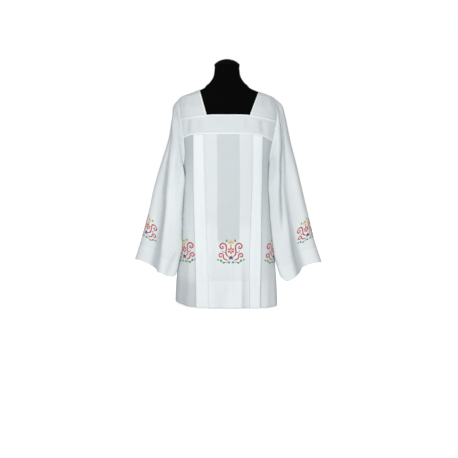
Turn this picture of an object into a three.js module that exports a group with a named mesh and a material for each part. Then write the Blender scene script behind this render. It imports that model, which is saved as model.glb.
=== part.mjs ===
// A pleated surplice with a square yoke and wide sleeves, on a limbless dress form.
// Millimetres, +Z up. The front faces -Y. "left" and "right" are as seen from the front.
// The origin is at the centre of the underside of the stand's base.

import * as THREE from "three";

// Driving dimensions

const WALL = 1;
const SEAM_GAP = 0.3;

const HEM_Z = 8;
const FRONT_BAND = { bottom: 733, top: 816 };
const BACK_BAND = { bottom: 757, top: 840 };
const BAND_LIFT = 1.6;
const PANEL_TUCK = 8;
const ARMPIT_Z = 590;
const SHOULDER_Z = 896;
const NECK_TOP_Z = 932;
const ABOVE_RIDGE = 970;

const SLEEVE_START_GAP = 2;
const SLEEVE_CLEAR = 5;
const SLEEVE_HEAD = 0.16;

const BASE_RADIUS = 120;
const BASE_THICKNESS = 9;
const HUB_RADIUS = 26;
const HUB_TOP = 30;
const POLE_RADIUS = 16;
const TORSO_BOTTOM = 290;
const TORSO_TOP = 1038.2;
const TORSO_UNDER_YOKE = 1;

// The outside of the worn garment at each height: half widths, front and back depths, and how square it is.
const BODY = table(["z", "left", "right", "front", "back", "squareLeft", "squareRight"], [
  [8, 225, 217, 140, 140, 3.0, 4.5],
  [100, 221, 214, 139, 137, 3.0, 4.4],
  [200, 213, 207, 138, 134, 3.0, 4.2],
  [300, 206, 200, 136, 131, 3.0, 3.9],
  [400, 199, 193, 134, 127, 2.9, 3.5],
  [500, 193, 188, 132, 122, 2.8, 3.1],
  [590, 190, 187, 129, 117, 2.75, 2.85],
  [660, 196, 199, 127, 114, 2.7, 2.7],
  [710, 203, 211, 125.5, 112, 2.7, 2.7],
  [760, 210, 222, 123, 110, 2.6, 2.6],
  [810, 216, 227, 118, 108, 2.5, 2.5],
  [850, 217, 226, 107, 101, 2.4, 2.4],
  [880, 213.5, 217, 91, 90, 2.3, 2.3],
  [896, 209.5, 209.5, 82, 83, 2.2, 2.2],
  [926, 141, 141, 75, 76, 2.1, 2.1],
  [935, 119, 119, 73, 74, 2.1, 2.1],
  [954, 92, 92, 69, 70, 2.0, 2.0],
]);

// Where the armhole seam lies across the body at each height.
const ARMHOLE = table(["z", "left", "right"], [
  [590, 190, 187],
  [600, 187.5, 184.5],
  [612, 184, 181.5],
  [630, 181, 180.5],
  [660, 179.5, 184.5],
  [710, 182.5, 196.5],
  [760, 189, 205],
  [810, 198.5, 212],
  [850, 203, 212],
  [880, 206, 210.5],
  [896, 209.5, 209.5],
]);

// The square neck's side edges, where the straps begin: at the band's top and on the shoulder's ridge.
const NECK_EDGE = {
  left: { low: 86, high: 119 },
  right: { low: 97.5, high: 141 },
};

// Knife pleats of a panel at each height: the folded edges' places and the step from layer to layer.
const PLEATS = table(["z", "innerLeft", "innerRight", "outerLeft", "outerRight", "step"], [
  [8, 74.5, 94, 128.5, 138, 3.4],
  [180, 79, 93, 131, 142, 3.0],
  [400, 86, 100, 138, 145, 2.6],
  [600, 91, 105.5, 142, 150, 2.2],
  [770, 95, 105.5, 142.5, 152, 1.9],
]);
const PLEAT_DEPTH = { inner: 53, outer: 48 };
const PLEAT_EASE = 34;
const FOLD_MARGIN = 12;
const SIDE_START = 0.22;

// Soft troughs of the body panels: place across, width and depth, and the heights between which they run.
const PANEL_TROUGHS = table(["face", "x", "width", "depth", "bottom", "top"], [
  ["front", 76, 13, 5, 0, 330],
  ["front", -190, 16, 6, 0, 420],
  ["front", 186, 14, 4, 0, 420],
  ["front", -30, 26, 3, 0, 300],
  ["back", -60, 18, 6, 0, 420],
  ["back", 52, 20, 5, 0, 340],
  ["back", -182, 18, 7, 0, 460],
  ["back", 178, 18, 7, 0, 460],
]);
const SIDE_RISE = { left: 12, right: 7 };
const SIDE_RISE_TOP = 160;

// A sleeve from the armhole to the cuff: its outer and inner lines seen from the front, and its half depth.
const SLEEVE_COLUMNS = ["along", "outerX", "outerZ", "innerX", "innerZ", "depth"];
const SLEEVES = {
  left: table(SLEEVE_COLUMNS, [
    [0, 211.5, 896, 192, 588.7, 74],
    [0.05, 235, 868, 193, 562, 78],
    [0.1, 243, 835, 193, 540, 82],
    [0.25, 257, 721, 194, 470, 90],
    [0.4, 287, 615, 195, 400, 97],
    [0.55, 319, 512, 197, 331, 102],
    [0.7, 345, 404, 201, 261, 105],
    [0.85, 373, 298, 207, 190, 107],
    [1, 401, 192, 222, 119, 107],
  ]),
  right: table(SLEEVE_COLUMNS, [
    [0, 211.5, 896, 189, 588.7, 74],
    [0.05, 245, 870, 189, 562, 78],
    [0.1, 254, 836, 190, 540, 82],
    [0.25, 275, 721, 191, 470, 90],
    [0.4, 301, 613, 193, 400, 97],
    [0.55, 325, 508, 197, 331, 102],
    [0.7, 350, 400, 204, 259, 105],
    [0.85, 376, 290, 213, 186, 107],
    [1, 411, 178, 234, 112, 107],
  ]),
};

// Flutes of a sleeve: angle at the armhole and at the cuff (0 on the outer line, 90 at the front, 180 under
// the arm, 270 behind), width, and the depth of the trough at the armhole, midway and at the cuff.
const FLUTE_COLUMNS = ["root", "cuff", "width", "rootDepth", "midDepth", "cuffDepth"];
const FLUTES = {
  left: table(FLUTE_COLUMNS, [
    [38, 70, 15, 2, 15, 24],
    [92, 116, 18, 4, 5, -6],
    [124, 146, 13, 3, 5, 10],
    [214, 222, 15, 2, 6, 12],
    [262, 256, 16, 2, 9, 18],
    [318, 304, 17, 2, 9, 14],
  ]),
  right: table(FLUTE_COLUMNS, [
    [66, 80, 13, 8, 10, 16],
    [112, 126, 14, 5, 9, -8],
    [148, 156, 13, 2, 4, 8],
    [208, 214, 15, 2, 6, 12],
    [256, 262, 16, 2, 9, 18],
    [312, 300, 17, 2, 8, 13],
  ]),
};

// The dress form at each height: half width, front and back depth, and how square it is.
const TORSO = table(["z", "side", "front", "back", "square"], [
  [290, 62, 40, 40, 2.1],
  [293, 100, 64, 62, 2.1],
  [304, 130, 84, 82, 2.2],
  [326, 148, 97, 96, 2.3],
  [370, 155, 103, 102, 2.3],
  [430, 140, 97, 93, 2.3],
  [475, 130, 92, 86, 2.3],
  [530, 138, 97, 88, 2.3],
  [600, 154, 107, 94, 2.4],
  [680, 167, 112, 98, 2.4],
  [750, 178, 110, 98, 2.4],
  [800, 192, 106, 96, 2.3],
  [835, 203, 99, 92, 2.3],
  [862, 209, 90, 87, 2.2],
]);
const TORSO_SHOULDER_HEIGHTS = [880, 893, 906, 919, 932, 944];
const NECK = table(["z", "side", "front", "back", "square"], [
  [955, 91, 67, 68, 2.0],
  [964, 80, 63, 64, 2.0],
  [975, 71, 60, 61, 2.0],
  [990, 62, 57, 58, 2.0],
  [1005, 57.5, 55.5, 56, 2.0],
  [TORSO_TOP, 54.5, 54, 54, 2.0],
]);
const NECK_CAP = table(["z", "side", "front", "back", "square"], [
  [TORSO_TOP + SEAM_GAP, 55, 54.5, 54.5, 2.0],
  [1040.5, 56.5, 56, 56, 2.0],
  [1047, 56, 55.5, 55.5, 2.0],
  [1056, 47, 46.5, 46.5, 2.0],
  [1064.5, 32, 31.5, 31.5, 2.0],
  [1069.5, 15, 14.8, 14.8, 2.0],
  [1071, 4, 4, 4, 2.0],
]);

// Number of steps in the meshes
const HULL_STEPS = 240;
const TORSO_STEPS = 28;
const SLEEVE_STEPS = 34;
const SLEEVE_ROWS = [0, 0.04, 0.1, 0.18, 0.28, 0.4, 0.52, 0.64, 0.76, 0.88, 1];
const SKIRT_HEIGHTS = [HEM_Z, 110, 240, 400, ARMPIT_Z, 597, 611, 636, 685];
const BAND_STEPS = 26;
const TURN_LENGTH = 70;
const BAND_ROWS = 4;
const STRAP_ACROSS = 6;
const STRAP_ALONG = 9;

// Tables and their smooth values between rows

function table(columns, rows) {
  return rows.map((row) => Object.fromEntries(columns.map((name, i) => [name, row[i]])));
}

function slopeAt(rows, key, column, i) {
  if (i === 0 || i === rows.length - 1) return 0;
  const before = (rows[i][column] - rows[i - 1][column]) / (rows[i][key] - rows[i - 1][key]);
  const after = (rows[i + 1][column] - rows[i][column]) / (rows[i + 1][key] - rows[i][key]);
  return before * after <= 0 ? 0 : (2 * before * after) / (before + after);
}

function valueAt(rows, key, column, where) {
  const last = rows.length - 1;
  if (where <= rows[0][key]) return rows[0][column];
  if (where >= rows[last][key]) return rows[last][column];
  const i = rows.findIndex((row) => row[key] > where) - 1;
  const span = rows[i + 1][key] - rows[i][key];
  const u = (where - rows[i][key]) / span;
  const rise = slopeAt(rows, key, column, i) * span;
  const fall = slopeAt(rows, key, column, i + 1) * span;
  const start = rows[i][column];
  const end = rows[i + 1][column];
  return (
    start * (1 + 2 * u) * (1 - u) ** 2 +
    rise * u * (1 - u) ** 2 +
    end * u * u * (3 - 2 * u) +
    fall * u * u * (u - 1)
  );
}

const lerp = (a, b, u) => a + (b - a) * u;
const clamp01 = (u) => Math.min(1, Math.max(0, u));
const ease = (u) => clamp01(u) ** 2 * (3 - 2 * clamp01(u));
const bell = (distance, width) => Math.exp(-((distance / width) ** 2));
const spaced = (from, to, count) => Array.from({ length: count }, (_, i) => lerp(from, to, i / (count - 1)));
const sideOf = (x) => (x < 0 ? "left" : "right");

// Closed walls from a grid of middle points: a row for each height, a column for each place across

function bisector(row, i, closed) {
  const n = row.length;
  const before = closed ? row[(i + n - 1) % n] : row[Math.max(i - 1, 0)];
  const after = closed ? row[(i + 1) % n] : row[Math.min(i + 1, n - 1)];
  const into = row[i].clone().sub(before).normalize();
  const out = after.clone().sub(row[i]).normalize();
  const sum = into.add(out);
  const ends = before === row[i] || after === row[i];
  return { tangent: sum.clone().normalize(), half: ends ? 1 : sum.length() / 2 };
}

function offsetPoint(grid, j, i, distance, closed) {
  const { tangent, half } = bisector(grid[j], i, closed);
  const up = grid[Math.min(j + 1, grid.length - 1)][i].clone().sub(grid[Math.max(j - 1, 0)][i]);
  const normal = tangent.cross(up).normalize();
  return grid[j][i].clone().addScaledVector(normal, distance / Math.max(0.7, half));
}

function wallMesh(grid, closed) {
  const rows = grid.length;
  const columns = grid[0].length;
  const faces = [WALL / 2, -WALL / 2];
  const points = faces.flatMap((distance) =>
    grid.flatMap((row, j) => row.map((_, i) => offsetPoint(grid, j, i, distance, closed))),
  );
  const at = (face, j, i) => face * rows * columns + j * columns + (i % columns);
  const indices = [];
  const quad = (a, b, c, d) => indices.push(a, b, c, a, c, d);
  const across = closed ? columns : columns - 1;
  for (let j = 0; j < rows - 1; j++) {
    for (let i = 0; i < across; i++) {
      quad(at(0, j, i), at(0, j, i + 1), at(0, j + 1, i + 1), at(0, j + 1, i));
      quad(at(1, j, i), at(1, j + 1, i), at(1, j + 1, i + 1), at(1, j, i + 1));
    }
  }
  for (let i = 0; i < across; i++) {
    quad(at(0, 0, i), at(1, 0, i), at(1, 0, i + 1), at(0, 0, i + 1));
    quad(at(0, rows - 1, i + 1), at(1, rows - 1, i + 1), at(1, rows - 1, i), at(0, rows - 1, i));
  }
  if (!closed) {
    const end = columns - 1;
    for (let j = 0; j < rows - 1; j++) {
      quad(at(0, j + 1, 0), at(1, j + 1, 0), at(1, j, 0), at(0, j, 0));
      quad(at(0, j, end), at(1, j, end), at(1, j + 1, end), at(0, j + 1, end));
    }
  }
  return closedGeometry(points, indices);
}

// Turns the faces outward where the grid runs the other way round.
function closedGeometry(points, indices) {
  let volume = 0;
  for (let k = 0; k < indices.length; k += 3) {
    const [a, b, c] = [indices[k], indices[k + 1], indices[k + 2]].map((n) => points[n]);
    volume += a.dot(b.clone().cross(c));
  }
  if (volume < 0) indices.reverse();
  const geometry = new THREE.BufferGeometry().setFromPoints(points);
  geometry.setIndex(indices);
  geometry.computeVertexNormals();
  return geometry;
}

// The garment's outside

function bodySection(z, x, face) {
  const side = sideOf(x);
  return {
    width: valueAt(BODY, "z", side, z),
    depth: valueAt(BODY, "z", face, z),
    square: valueAt(BODY, "z", side === "left" ? "squareLeft" : "squareRight", z),
  };
}

function bodyY(x, z, face) {
  const { width, depth, square } = bodySection(z, x, face);
  const y = depth * (1 - Math.min(1, Math.abs(x) / width) ** square) ** (1 / square);
  return face === "front" ? -y : y;
}

function bodyX(y, z, side) {
  const sign = side === "left" ? -1 : 1;
  const { width, depth, square } = bodySection(z, sign, y < 0 ? "front" : "back");
  return sign * width * (1 - Math.min(1, Math.abs(y) / depth) ** square) ** (1 / square);
}

// Half of the outside at one height, from the left end to the right end, with the length along it from x = 0.
function hullLine(z, face) {
  const points = [];
  for (let i = 0; i <= HULL_STEPS; i++) {
    const angle = lerp(-Math.PI / 2, Math.PI / 2, i / HULL_STEPS);
    const { width, depth, square } = bodySection(z, angle, face);
    const x = Math.sign(angle) * width * Math.abs(Math.sin(angle)) ** (2 / square);
    const y = depth * Math.cos(angle) ** (2 / square);
    points.push(new THREE.Vector2(x, face === "front" ? -y : y));
  }
  const lengths = [0];
  for (let i = 1; i < points.length; i++) lengths.push(lengths[i - 1] + points[i].distanceTo(points[i - 1]));
  const middle = lengths[HULL_STEPS / 2];
  return { face, points, lengths: lengths.map((s) => s - middle) };
}

function lengthAt(hull, x) {
  const i = Math.max(1, hull.points.findIndex((p) => p.x >= x));
  const [a, b] = [hull.points[i - 1], hull.points[i]];
  return lerp(hull.lengths[i - 1], hull.lengths[i], clamp01((x - a.x) / (b.x - a.x || 1)));
}

// The point at a length along the outside, moved inwards by a depth.
function hullPoint(hull, s, depth) {
  let i = hull.lengths.findIndex((length) => length > s);
  if (i < 1) i = i === 0 ? 1 : hull.lengths.length - 1;
  const [a, b] = [hull.points[i - 1], hull.points[i]];
  const u = clamp01((s - hull.lengths[i - 1]) / (hull.lengths[i] - hull.lengths[i - 1]));
  const before = hull.points[Math.max(i - 4, 0)];
  const after = hull.points[Math.min(i + 3, hull.points.length - 1)];
  const tangent = after.clone().sub(before).normalize();
  const turned = new THREE.Vector2(-tangent.y, tangent.x);
  const inward = hull.face === "front" ? turned : turned.negate();
  return a.clone().lerp(b, u).addScaledVector(inward, depth);
}

// Panels with knife pleats

function troughDepth(face, x, z) {
  let depth = 0;
  for (const trough of PANEL_TROUGHS.filter((row) => row.face === face)) {
    const fade = 1 - ease((z - trough.bottom) / (trough.top - trough.bottom));
    depth += trough.depth * fade * bell(x - trough.x, trough.width);
  }
  return depth;
}

// One side of a panel from its middle to its edge, as lengths along the outside and depths below it.
function pleatedSide(hull, z, side, edge) {
  const sign = side === "left" ? -1 : 1;
  const step = valueAt(PLEATS, "z", "step", z);
  const name = side === "left" ? "Left" : "Right";
  const inner = Math.abs(lengthAt(hull, sign * valueAt(PLEATS, "z", `inner${name}`, z)));
  const outer = Math.abs(lengthAt(hull, sign * valueAt(PLEATS, "z", `outer${name}`, z)));
  const innerStart = inner - PLEAT_DEPTH.inner;
  const outerStart = outer - PLEAT_DEPTH.outer;
  const second = (s) => 2 * step * (1 - ease((s - inner) / (outer - inner)));
  const third = (s) => (s < outer ? second(s) + 2 * step : 2 * step * (1 - ease((s - outer) / PLEAT_EASE)));
  const half = step / 2;
  const path = [];
  const put = (s, depth) => path.push({ s: sign * s, depth });
  const turn = (s, depth, direction) => {
    put(s - direction * half, depth);
    put(s, depth + half);
    put(s - direction * half, depth + step);
  };
  for (const s of spaced(0, inner - FOLD_MARGIN, 4)) put(s, 0);
  turn(inner, 0, 1);
  put(inner - PLEAT_DEPTH.inner / 2, step);
  turn(innerStart, step, -1);
  for (const s of spaced(innerStart + FOLD_MARGIN, outer - FOLD_MARGIN, 4)) put(s, second(s));
  turn(outer, second(outer), 1);
  put(outer - PLEAT_DEPTH.outer / 2, second(outer - PLEAT_DEPTH.outer / 2) + step);
  turn(outerStart, second(outerStart) + step, -1);
  for (const s of spaced(outerStart + FOLD_MARGIN, outer, 3)) put(s, third(s));
  for (const s of spaced(lerp(outer, Math.abs(edge), SIDE_START), Math.abs(edge), 6)) put(s, third(s));
  return path;
}

function panelEdge(hull, z, side) {
  const sign = side === "left" ? -1 : 1;
  if (z > ARMPIT_Z) return lengthAt(hull, sign * valueAt(ARMHOLE, "z", side, z));
  return sign * (Math.abs(sign < 0 ? hull.lengths[0] : hull.lengths[HULL_STEPS]) - SEAM_GAP / 2);
}

function sideRise(x, z) {
  const side = sideOf(x);
  const share = Math.abs(x) / valueAt(BODY, "z", side, z);
  return SIDE_RISE[side] * share ** 4 * (1 - ease((z - HEM_Z) / (SIDE_RISE_TOP - HEM_Z)));
}

function skirtRow(z, face) {
  const hull = hullLine(z, face);
  const left = pleatedSide(hull, z, "left", panelEdge(hull, z, "left")).reverse();
  const right = pleatedSide(hull, z, "right", panelEdge(hull, z, "right")).slice(1);
  return [...left, ...right].map(({ s, depth }) => {
    const onHull = hullPoint(hull, s, 0);
    const point = hullPoint(hull, s, depth + troughDepth(face, onHull.x, z));
    return new THREE.Vector3(point.x, point.y, z + sideRise(onHull.x, z));
  });
}

function skirt(face) {
  const band = face === "front" ? FRONT_BAND : BACK_BAND;
  const heights = [...SKIRT_HEIGHTS, band.bottom + PANEL_TUCK];
  return wallMesh(heights.map((z) => skirtRow(z, face)), false);
}

// Yoke

// Lengths along the outside from one end to the other, closer together where it turns.
function spacedByTurning(hull, from, to, count) {
  const directions = hull.points.slice(1).map((p, i) => p.clone().sub(hull.points[i]).angle());
  const marks = [];
  let run = 0;
  for (let i = 1; i < hull.points.length; i++) {
    const turned = i > 1 ? Math.abs(Math.sin(directions[i - 1] - directions[i - 2])) : 0;
    if (hull.lengths[i] > from && hull.lengths[i] < to) {
      run += hull.lengths[i] - hull.lengths[i - 1] + TURN_LENGTH * turned;
      marks.push({ run, s: hull.lengths[i] });
    }
  }
  const inner = spaced(0, run, count).slice(1, -1);
  return [from, ...inner.map((r) => valueAt(marks, "run", "s", r)), to];
}

function yokeBand(face) {
  const band = face === "front" ? FRONT_BAND : BACK_BAND;
  const rows = spaced(band.bottom, band.top - SEAM_GAP / 2, BAND_ROWS);
  return wallMesh(
    rows.map((z) => {
      const hull = hullLine(z, face);
      const ends = ["left", "right"].map((side) => panelEdge(hull, z, side));
      return spacedByTurning(hull, ends[0], ends[1], BAND_STEPS).map((s) => {
        const point = hullPoint(hull, s, -BAND_LIFT);
        return new THREE.Vector3(point.x, point.y, z);
      });
    }),
    false,
  );
}

// Where a line of the strap lies across the body: share 0 on the neck's edge, 1 on the armhole seam.
function strapX(side, share, z, low) {
  const edge = NECK_EDGE[side];
  const neck = lerp(edge.low, edge.high, clamp01((z - low) / (NECK_TOP_Z - low)));
  return lerp(neck, valueAt(ARMHOLE, "z", side, z), share);
}

function ridgeHeight(side, share, low) {
  let [inside, outside] = [low, ABOVE_RIDGE];
  for (let k = 0; k < 40; k++) {
    const middle = (inside + outside) / 2;
    const within = strapX(side, share, middle, low) < valueAt(BODY, "z", side, middle);
    if (within) inside = middle;
    else outside = middle;
  }
  return inside;
}

function strapHalf(side, face, shares) {
  const sign = side === "left" ? -1 : 1;
  const low = (face === "front" ? FRONT_BAND : BACK_BAND).top + SEAM_GAP / 2;
  const rows = spaced(0, 1, STRAP_ALONG);
  return rows.map((v) =>
    shares.map((share) => {
      const ridge = ridgeHeight(side, share, low);
      const z = lerp(low, ridge, 1 - (1 - v) ** 2);
      const x = sign * strapX(side, share, z, low);
      return new THREE.Vector3(x, v === 1 ? 0 : bodyY(x, z, face), z);
    }),
  );
}

// The strap's middle surface, lifted off the outside along its own normal.
function shoulderStrap(side) {
  const shares = spaced(0, 1, STRAP_ACROSS);
  const front = strapHalf(side, "front", shares);
  const back = strapHalf(side, "back", shares).slice(0, -1).reverse();
  const grid = [...front, ...back];
  const lift = side === "left" ? -BAND_LIFT : BAND_LIFT;
  const lifted = grid.map((row, j) => row.map((_, i) => offsetPoint(grid, j, i, lift, false)));
  for (const [row, face] of [[lifted[0], "front"], [lifted.at(-1), "back"]]) {
    const low = (face === "front" ? FRONT_BAND : BACK_BAND).top + SEAM_GAP / 2;
    for (const point of row) point.z = low;
  }
  return wallMesh(lifted, false);
}

// Sleeves

function armholePoint(side, angle) {
  const middle = (SHOULDER_Z + ARMPIT_Z) / 2;
  const half = (SHOULDER_Z - ARMPIT_Z) / 2;
  const z = middle + half * Math.cos(angle);
  const seam = valueAt(ARMHOLE, "z", side, z);
  const sign = side === "left" ? -1 : 1;
  const face = Math.sin(angle) >= 0 ? "front" : "back";
  const atEnd = Math.abs(Math.sin(angle)) < 1e-6;
  return new THREE.Vector3(sign * (seam + SLEEVE_START_GAP), atEnd ? 0 : bodyY(sign * seam, z, face), z);
}

function fluteDepth(side, angle, along) {
  let depth = 0;
  for (const flute of FLUTES[side]) {
    const place = lerp(flute.root, flute.cuff, along);
    const away = ((angle - place + 540) % 360) - 180;
    const grown = along < 0.5
      ? lerp(flute.rootDepth, flute.midDepth, ease(along / 0.5))
      : lerp(flute.midDepth, flute.cuffDepth, (along - 0.5) / 0.5);
    depth += grown * bell(away, flute.width);
  }
  return depth * ease(along / SLEEVE_HEAD);
}

function sleevePoint(side, angle, along) {
  const sign = side === "left" ? -1 : 1;
  const value = (column) => valueAt(SLEEVES[side], "along", column, along);
  const outer = new THREE.Vector2(value("outerX"), value("outerZ"));
  const inner = new THREE.Vector2(value("innerX"), value("innerZ"));
  const middle = outer.clone().add(inner).multiplyScalar(0.5);
  const arm = outer.clone().sub(inner).multiplyScalar(0.5);
  const depth = value("depth");
  const radius = Math.hypot(arm.length() * Math.cos(angle), depth * Math.sin(angle));
  const share = 1 - fluteDepth(side, THREE.MathUtils.radToDeg(angle), along) / radius;
  const across = share * Math.cos(angle);
  const point = new THREE.Vector3(
    sign * (middle.x + arm.x * across),
    -depth * Math.sin(angle) * share,
    middle.y + arm.y * across,
  );
  const clear = Math.abs(bodyX(point.y, Math.min(point.z, ARMPIT_Z), side)) + SLEEVE_CLEAR;
  if (point.z < ARMPIT_Z && Math.abs(point.x) < clear) point.x = sign * clear;
  return armholePoint(side, angle).lerp(point, ease(along / SLEEVE_HEAD));
}

function sleeve(side) {
  const angles = spaced(0, 2 * Math.PI, SLEEVE_STEPS + 1).slice(0, -1);
  return wallMesh(SLEEVE_ROWS.map((along) => angles.map((angle) => sleevePoint(side, angle, along))), true);
}

// Dress form

function ringSolid(rows) {
  const points = rows.flatMap((row) =>
    spaced(0, 2 * Math.PI, TORSO_STEPS + 1).slice(0, -1).map((angle) => {
      const [c, s] = [Math.cos(angle), Math.sin(angle)];
      const depth = s < 0 ? row.front : row.back;
      const x = row.side * Math.sign(c) * Math.abs(c) ** (2 / row.square);
      return new THREE.Vector3(x, depth * Math.sign(s) * Math.abs(s) ** (2 / row.square), row.z);
    }),
  );
  const n = TORSO_STEPS;
  const indices = [];
  for (let j = 0; j < rows.length - 1; j++) {
    for (let i = 0; i < n; i++) {
      const [a, b] = [j * n + i, j * n + ((i + 1) % n)];
      indices.push(a, b, b + n, a, b + n, a + n);
    }
  }
  const bottom = points.push(new THREE.Vector3(0, 0, rows[0].z)) - 1;
  const top = points.push(new THREE.Vector3(0, 0, rows.at(-1).z)) - 1;
  const lastRing = (rows.length - 1) * n;
  for (let i = 0; i < n; i++) {
    indices.push(bottom, (i + 1) % n, i, top, lastRing + i, lastRing + ((i + 1) % n));
  }
  return closedGeometry(points, indices);
}

function torso() {
  const shoulders = TORSO_SHOULDER_HEIGHTS.map((z) => ({
    z,
    side: Math.min(valueAt(BODY, "z", "left", z), valueAt(BODY, "z", "right", z)) - TORSO_UNDER_YOKE,
    front: valueAt(BODY, "z", "front", z) - TORSO_UNDER_YOKE,
    back: valueAt(BODY, "z", "back", z) - TORSO_UNDER_YOKE,
    square: valueAt(BODY, "z", "squareLeft", z),
  }));
  return ringSolid([...TORSO, ...shoulders, ...NECK]);
}

function standBase() {
  const chamfer = 2;
  const profile = [
    [0, 0],
    [BASE_RADIUS - chamfer, 0],
    [BASE_RADIUS, chamfer],
    [BASE_RADIUS, BASE_THICKNESS - chamfer],
    [BASE_RADIUS - chamfer, BASE_THICKNESS],
    [HUB_RADIUS + 3, BASE_THICKNESS],
    [HUB_RADIUS, BASE_THICKNESS + 3],
    [HUB_RADIUS, HUB_TOP - chamfer],
    [HUB_RADIUS - chamfer, HUB_TOP],
    [0, HUB_TOP],
  ].map(([r, z]) => new THREE.Vector2(r, z));
  return new THREE.LatheGeometry(profile, 32).rotateX(Math.PI / 2);
}

function standPole() {
  const length = TORSO_BOTTOM - HUB_TOP - 2 * SEAM_GAP;
  const middle = HUB_TOP + SEAM_GAP + length / 2;
  const pole = new THREE.CylinderGeometry(POLE_RADIUS, POLE_RADIUS, length, 20);
  return pole.rotateX(Math.PI / 2).translate(0, 0, middle);
}

// The object

const cloth = () => new THREE.MeshStandardMaterial({ color: 0xe6ebec, roughness: 0.85, metalness: 0 });
const formCover = () => new THREE.MeshStandardMaterial({ color: 0x070707, roughness: 0.8, metalness: 0 });
const standMetal = () => new THREE.MeshStandardMaterial({ color: 0x16171a, roughness: 0.4, metalness: 0.8 });

const group = new THREE.Group();

function add(name, geometry, material) {
  const mesh = new THREE.Mesh(geometry, material);
  mesh.name = name;
  group.add(mesh);
}

add("yoke_front_band", yokeBand("front"), cloth());
add("yoke_back_band", yokeBand("back"), cloth());
add("skirt_front", skirt("front"), cloth());
add("skirt_back", skirt("back"), cloth());
for (const side of ["left", "right"]) {
  add(`shoulder_${side}`, shoulderStrap(side), cloth());
  add(`sleeve_${side}`, sleeve(side), cloth());
}
add("form_torso", torso(), formCover());
add("form_neck_cap", ringSolid(NECK_CAP), formCover());
add("form_pole", standPole(), standMetal());
add("form_base", standBase(), standMetal());

export default group;
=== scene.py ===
# A pleated surplice with a square yoke and wide sleeves, on a limbless black dress form.
# Tables and sizes are in millimetres, as a pattern cutter writes them, and meshes are made in metres.
# The front faces -Y. "left" and "right" are as seen from the front.
import math

import bpy
import numpy as np
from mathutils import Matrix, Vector


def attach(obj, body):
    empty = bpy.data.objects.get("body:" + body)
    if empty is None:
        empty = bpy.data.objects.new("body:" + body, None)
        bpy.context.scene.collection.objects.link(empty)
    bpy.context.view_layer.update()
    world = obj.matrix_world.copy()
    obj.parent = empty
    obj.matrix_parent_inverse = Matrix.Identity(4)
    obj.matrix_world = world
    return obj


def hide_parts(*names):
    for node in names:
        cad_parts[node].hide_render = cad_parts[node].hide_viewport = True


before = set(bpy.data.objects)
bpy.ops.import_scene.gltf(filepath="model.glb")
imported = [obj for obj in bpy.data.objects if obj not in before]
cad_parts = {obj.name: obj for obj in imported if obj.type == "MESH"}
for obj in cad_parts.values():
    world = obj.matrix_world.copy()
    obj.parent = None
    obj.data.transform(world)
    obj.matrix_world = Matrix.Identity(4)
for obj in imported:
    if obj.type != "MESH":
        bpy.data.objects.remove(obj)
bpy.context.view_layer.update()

MM = 0.001
BODY_NAME = "root"
FACES = ("front", "back")
SIDES = ("left", "right")
SIGN = {"left": -1, "right": 1}

# Cloth and seams

CLOTH = 0.4
TURNED = 0.75
BAND_LIFT = 0.95
PANEL_TUCK = 8
SLEEVE_START_GAP = 0.55
SEAM_GAP = 0.3
SEAM_RIDGE = 6
SEAM_RIDGE_HEIGHT = 0.65

HEM_Z = 8
HEM_TURN = 112
HEM_LINE = HEM_Z + HEM_TURN
CUFF_TURN = 62
STITCH_GROOVE = 0.5
GROOVE_WIDTH = 2.2
BANDS = {"front": (733, 816), "back": (757, 840)}
BAND_COLUMNS = 150
ARMPIT_Z = 590
SHOULDER_Z = 896
NECK_TOP_Z = 932
ABOVE_RIDGE = 970
SLEEVE_CLEAR = 1.6
SLEEVE_HEAD = 0.16
SLEEVE_SQUARE = 1.6
CUFF_LIFT_START = 0.62
HEAD_SHORTER = 0.6
# The dent under each arm: height, half height and depth. It begins some way in front of the middle.
ARMPIT_GAP = {"left": (566, 17, 7), "right": (600, 20, 1)}
ARMPIT_GAP_FRONT, ARMPIT_GAP_EASE = 20, 30


def table(columns, rows):
    return {name: np.array(values, float) for name, values in zip(columns, zip(*rows))}


# The outside of the worn garment at each height: half widths, front and back depths, and how square it is.
BODY = table(("z", "left", "right", "front", "back", "squareleft", "squareright"), [
    (8, 225, 217, 140, 140, 3.0, 4.5), (100, 221, 214, 139, 137, 3.0, 4.4),
    (200, 213, 207, 138, 134, 3.0, 4.2), (300, 206, 200, 136, 131, 3.0, 3.9),
    (400, 199, 193, 134, 127, 2.9, 3.5), (500, 193, 188, 132, 122, 2.8, 3.1),
    (545, 190, 187.5, 131, 120, 2.78, 2.98), (572, 186.5, 187, 130, 118, 2.76, 2.9),
    (590, 190, 187, 129, 117, 2.75, 2.85), (660, 196, 199, 127, 114, 2.7, 2.7),
    (710, 203, 211, 125.5, 112, 2.7, 2.7), (760, 210, 222, 123, 110, 2.6, 2.6),
    (810, 216, 227, 118, 108, 2.5, 2.5), (850, 217, 226, 107, 101, 2.4, 2.4),
    (880, 213.5, 217, 91, 90, 2.3, 2.3), (896, 209.5, 209.5, 82, 83, 2.2, 2.2),
    (926, 141, 141, 75, 76, 2.1, 2.1), (935, 119, 119, 73, 74, 2.1, 2.1), (954, 92, 92, 69, 70, 2.0, 2.0),
])

# Where the armhole seam lies across the body at each height.
ARMHOLE = table(("z", "left", "right"), [
    (590, 190, 187), (600, 187.5, 184.5), (612, 184, 181.5), (630, 181, 180.5), (660, 179.5, 184.5),
    (710, 182.5, 196.5), (760, 189, 205), (810, 198.5, 212), (850, 203, 212), (880, 206, 210.5),
    (896, 209.5, 209.5),
])

# The square neck's side edges: at the band's top and on the shoulder's ridge.
NECK_EDGE = {"left": (86, 119), "right": (97.5, 141)}

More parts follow.
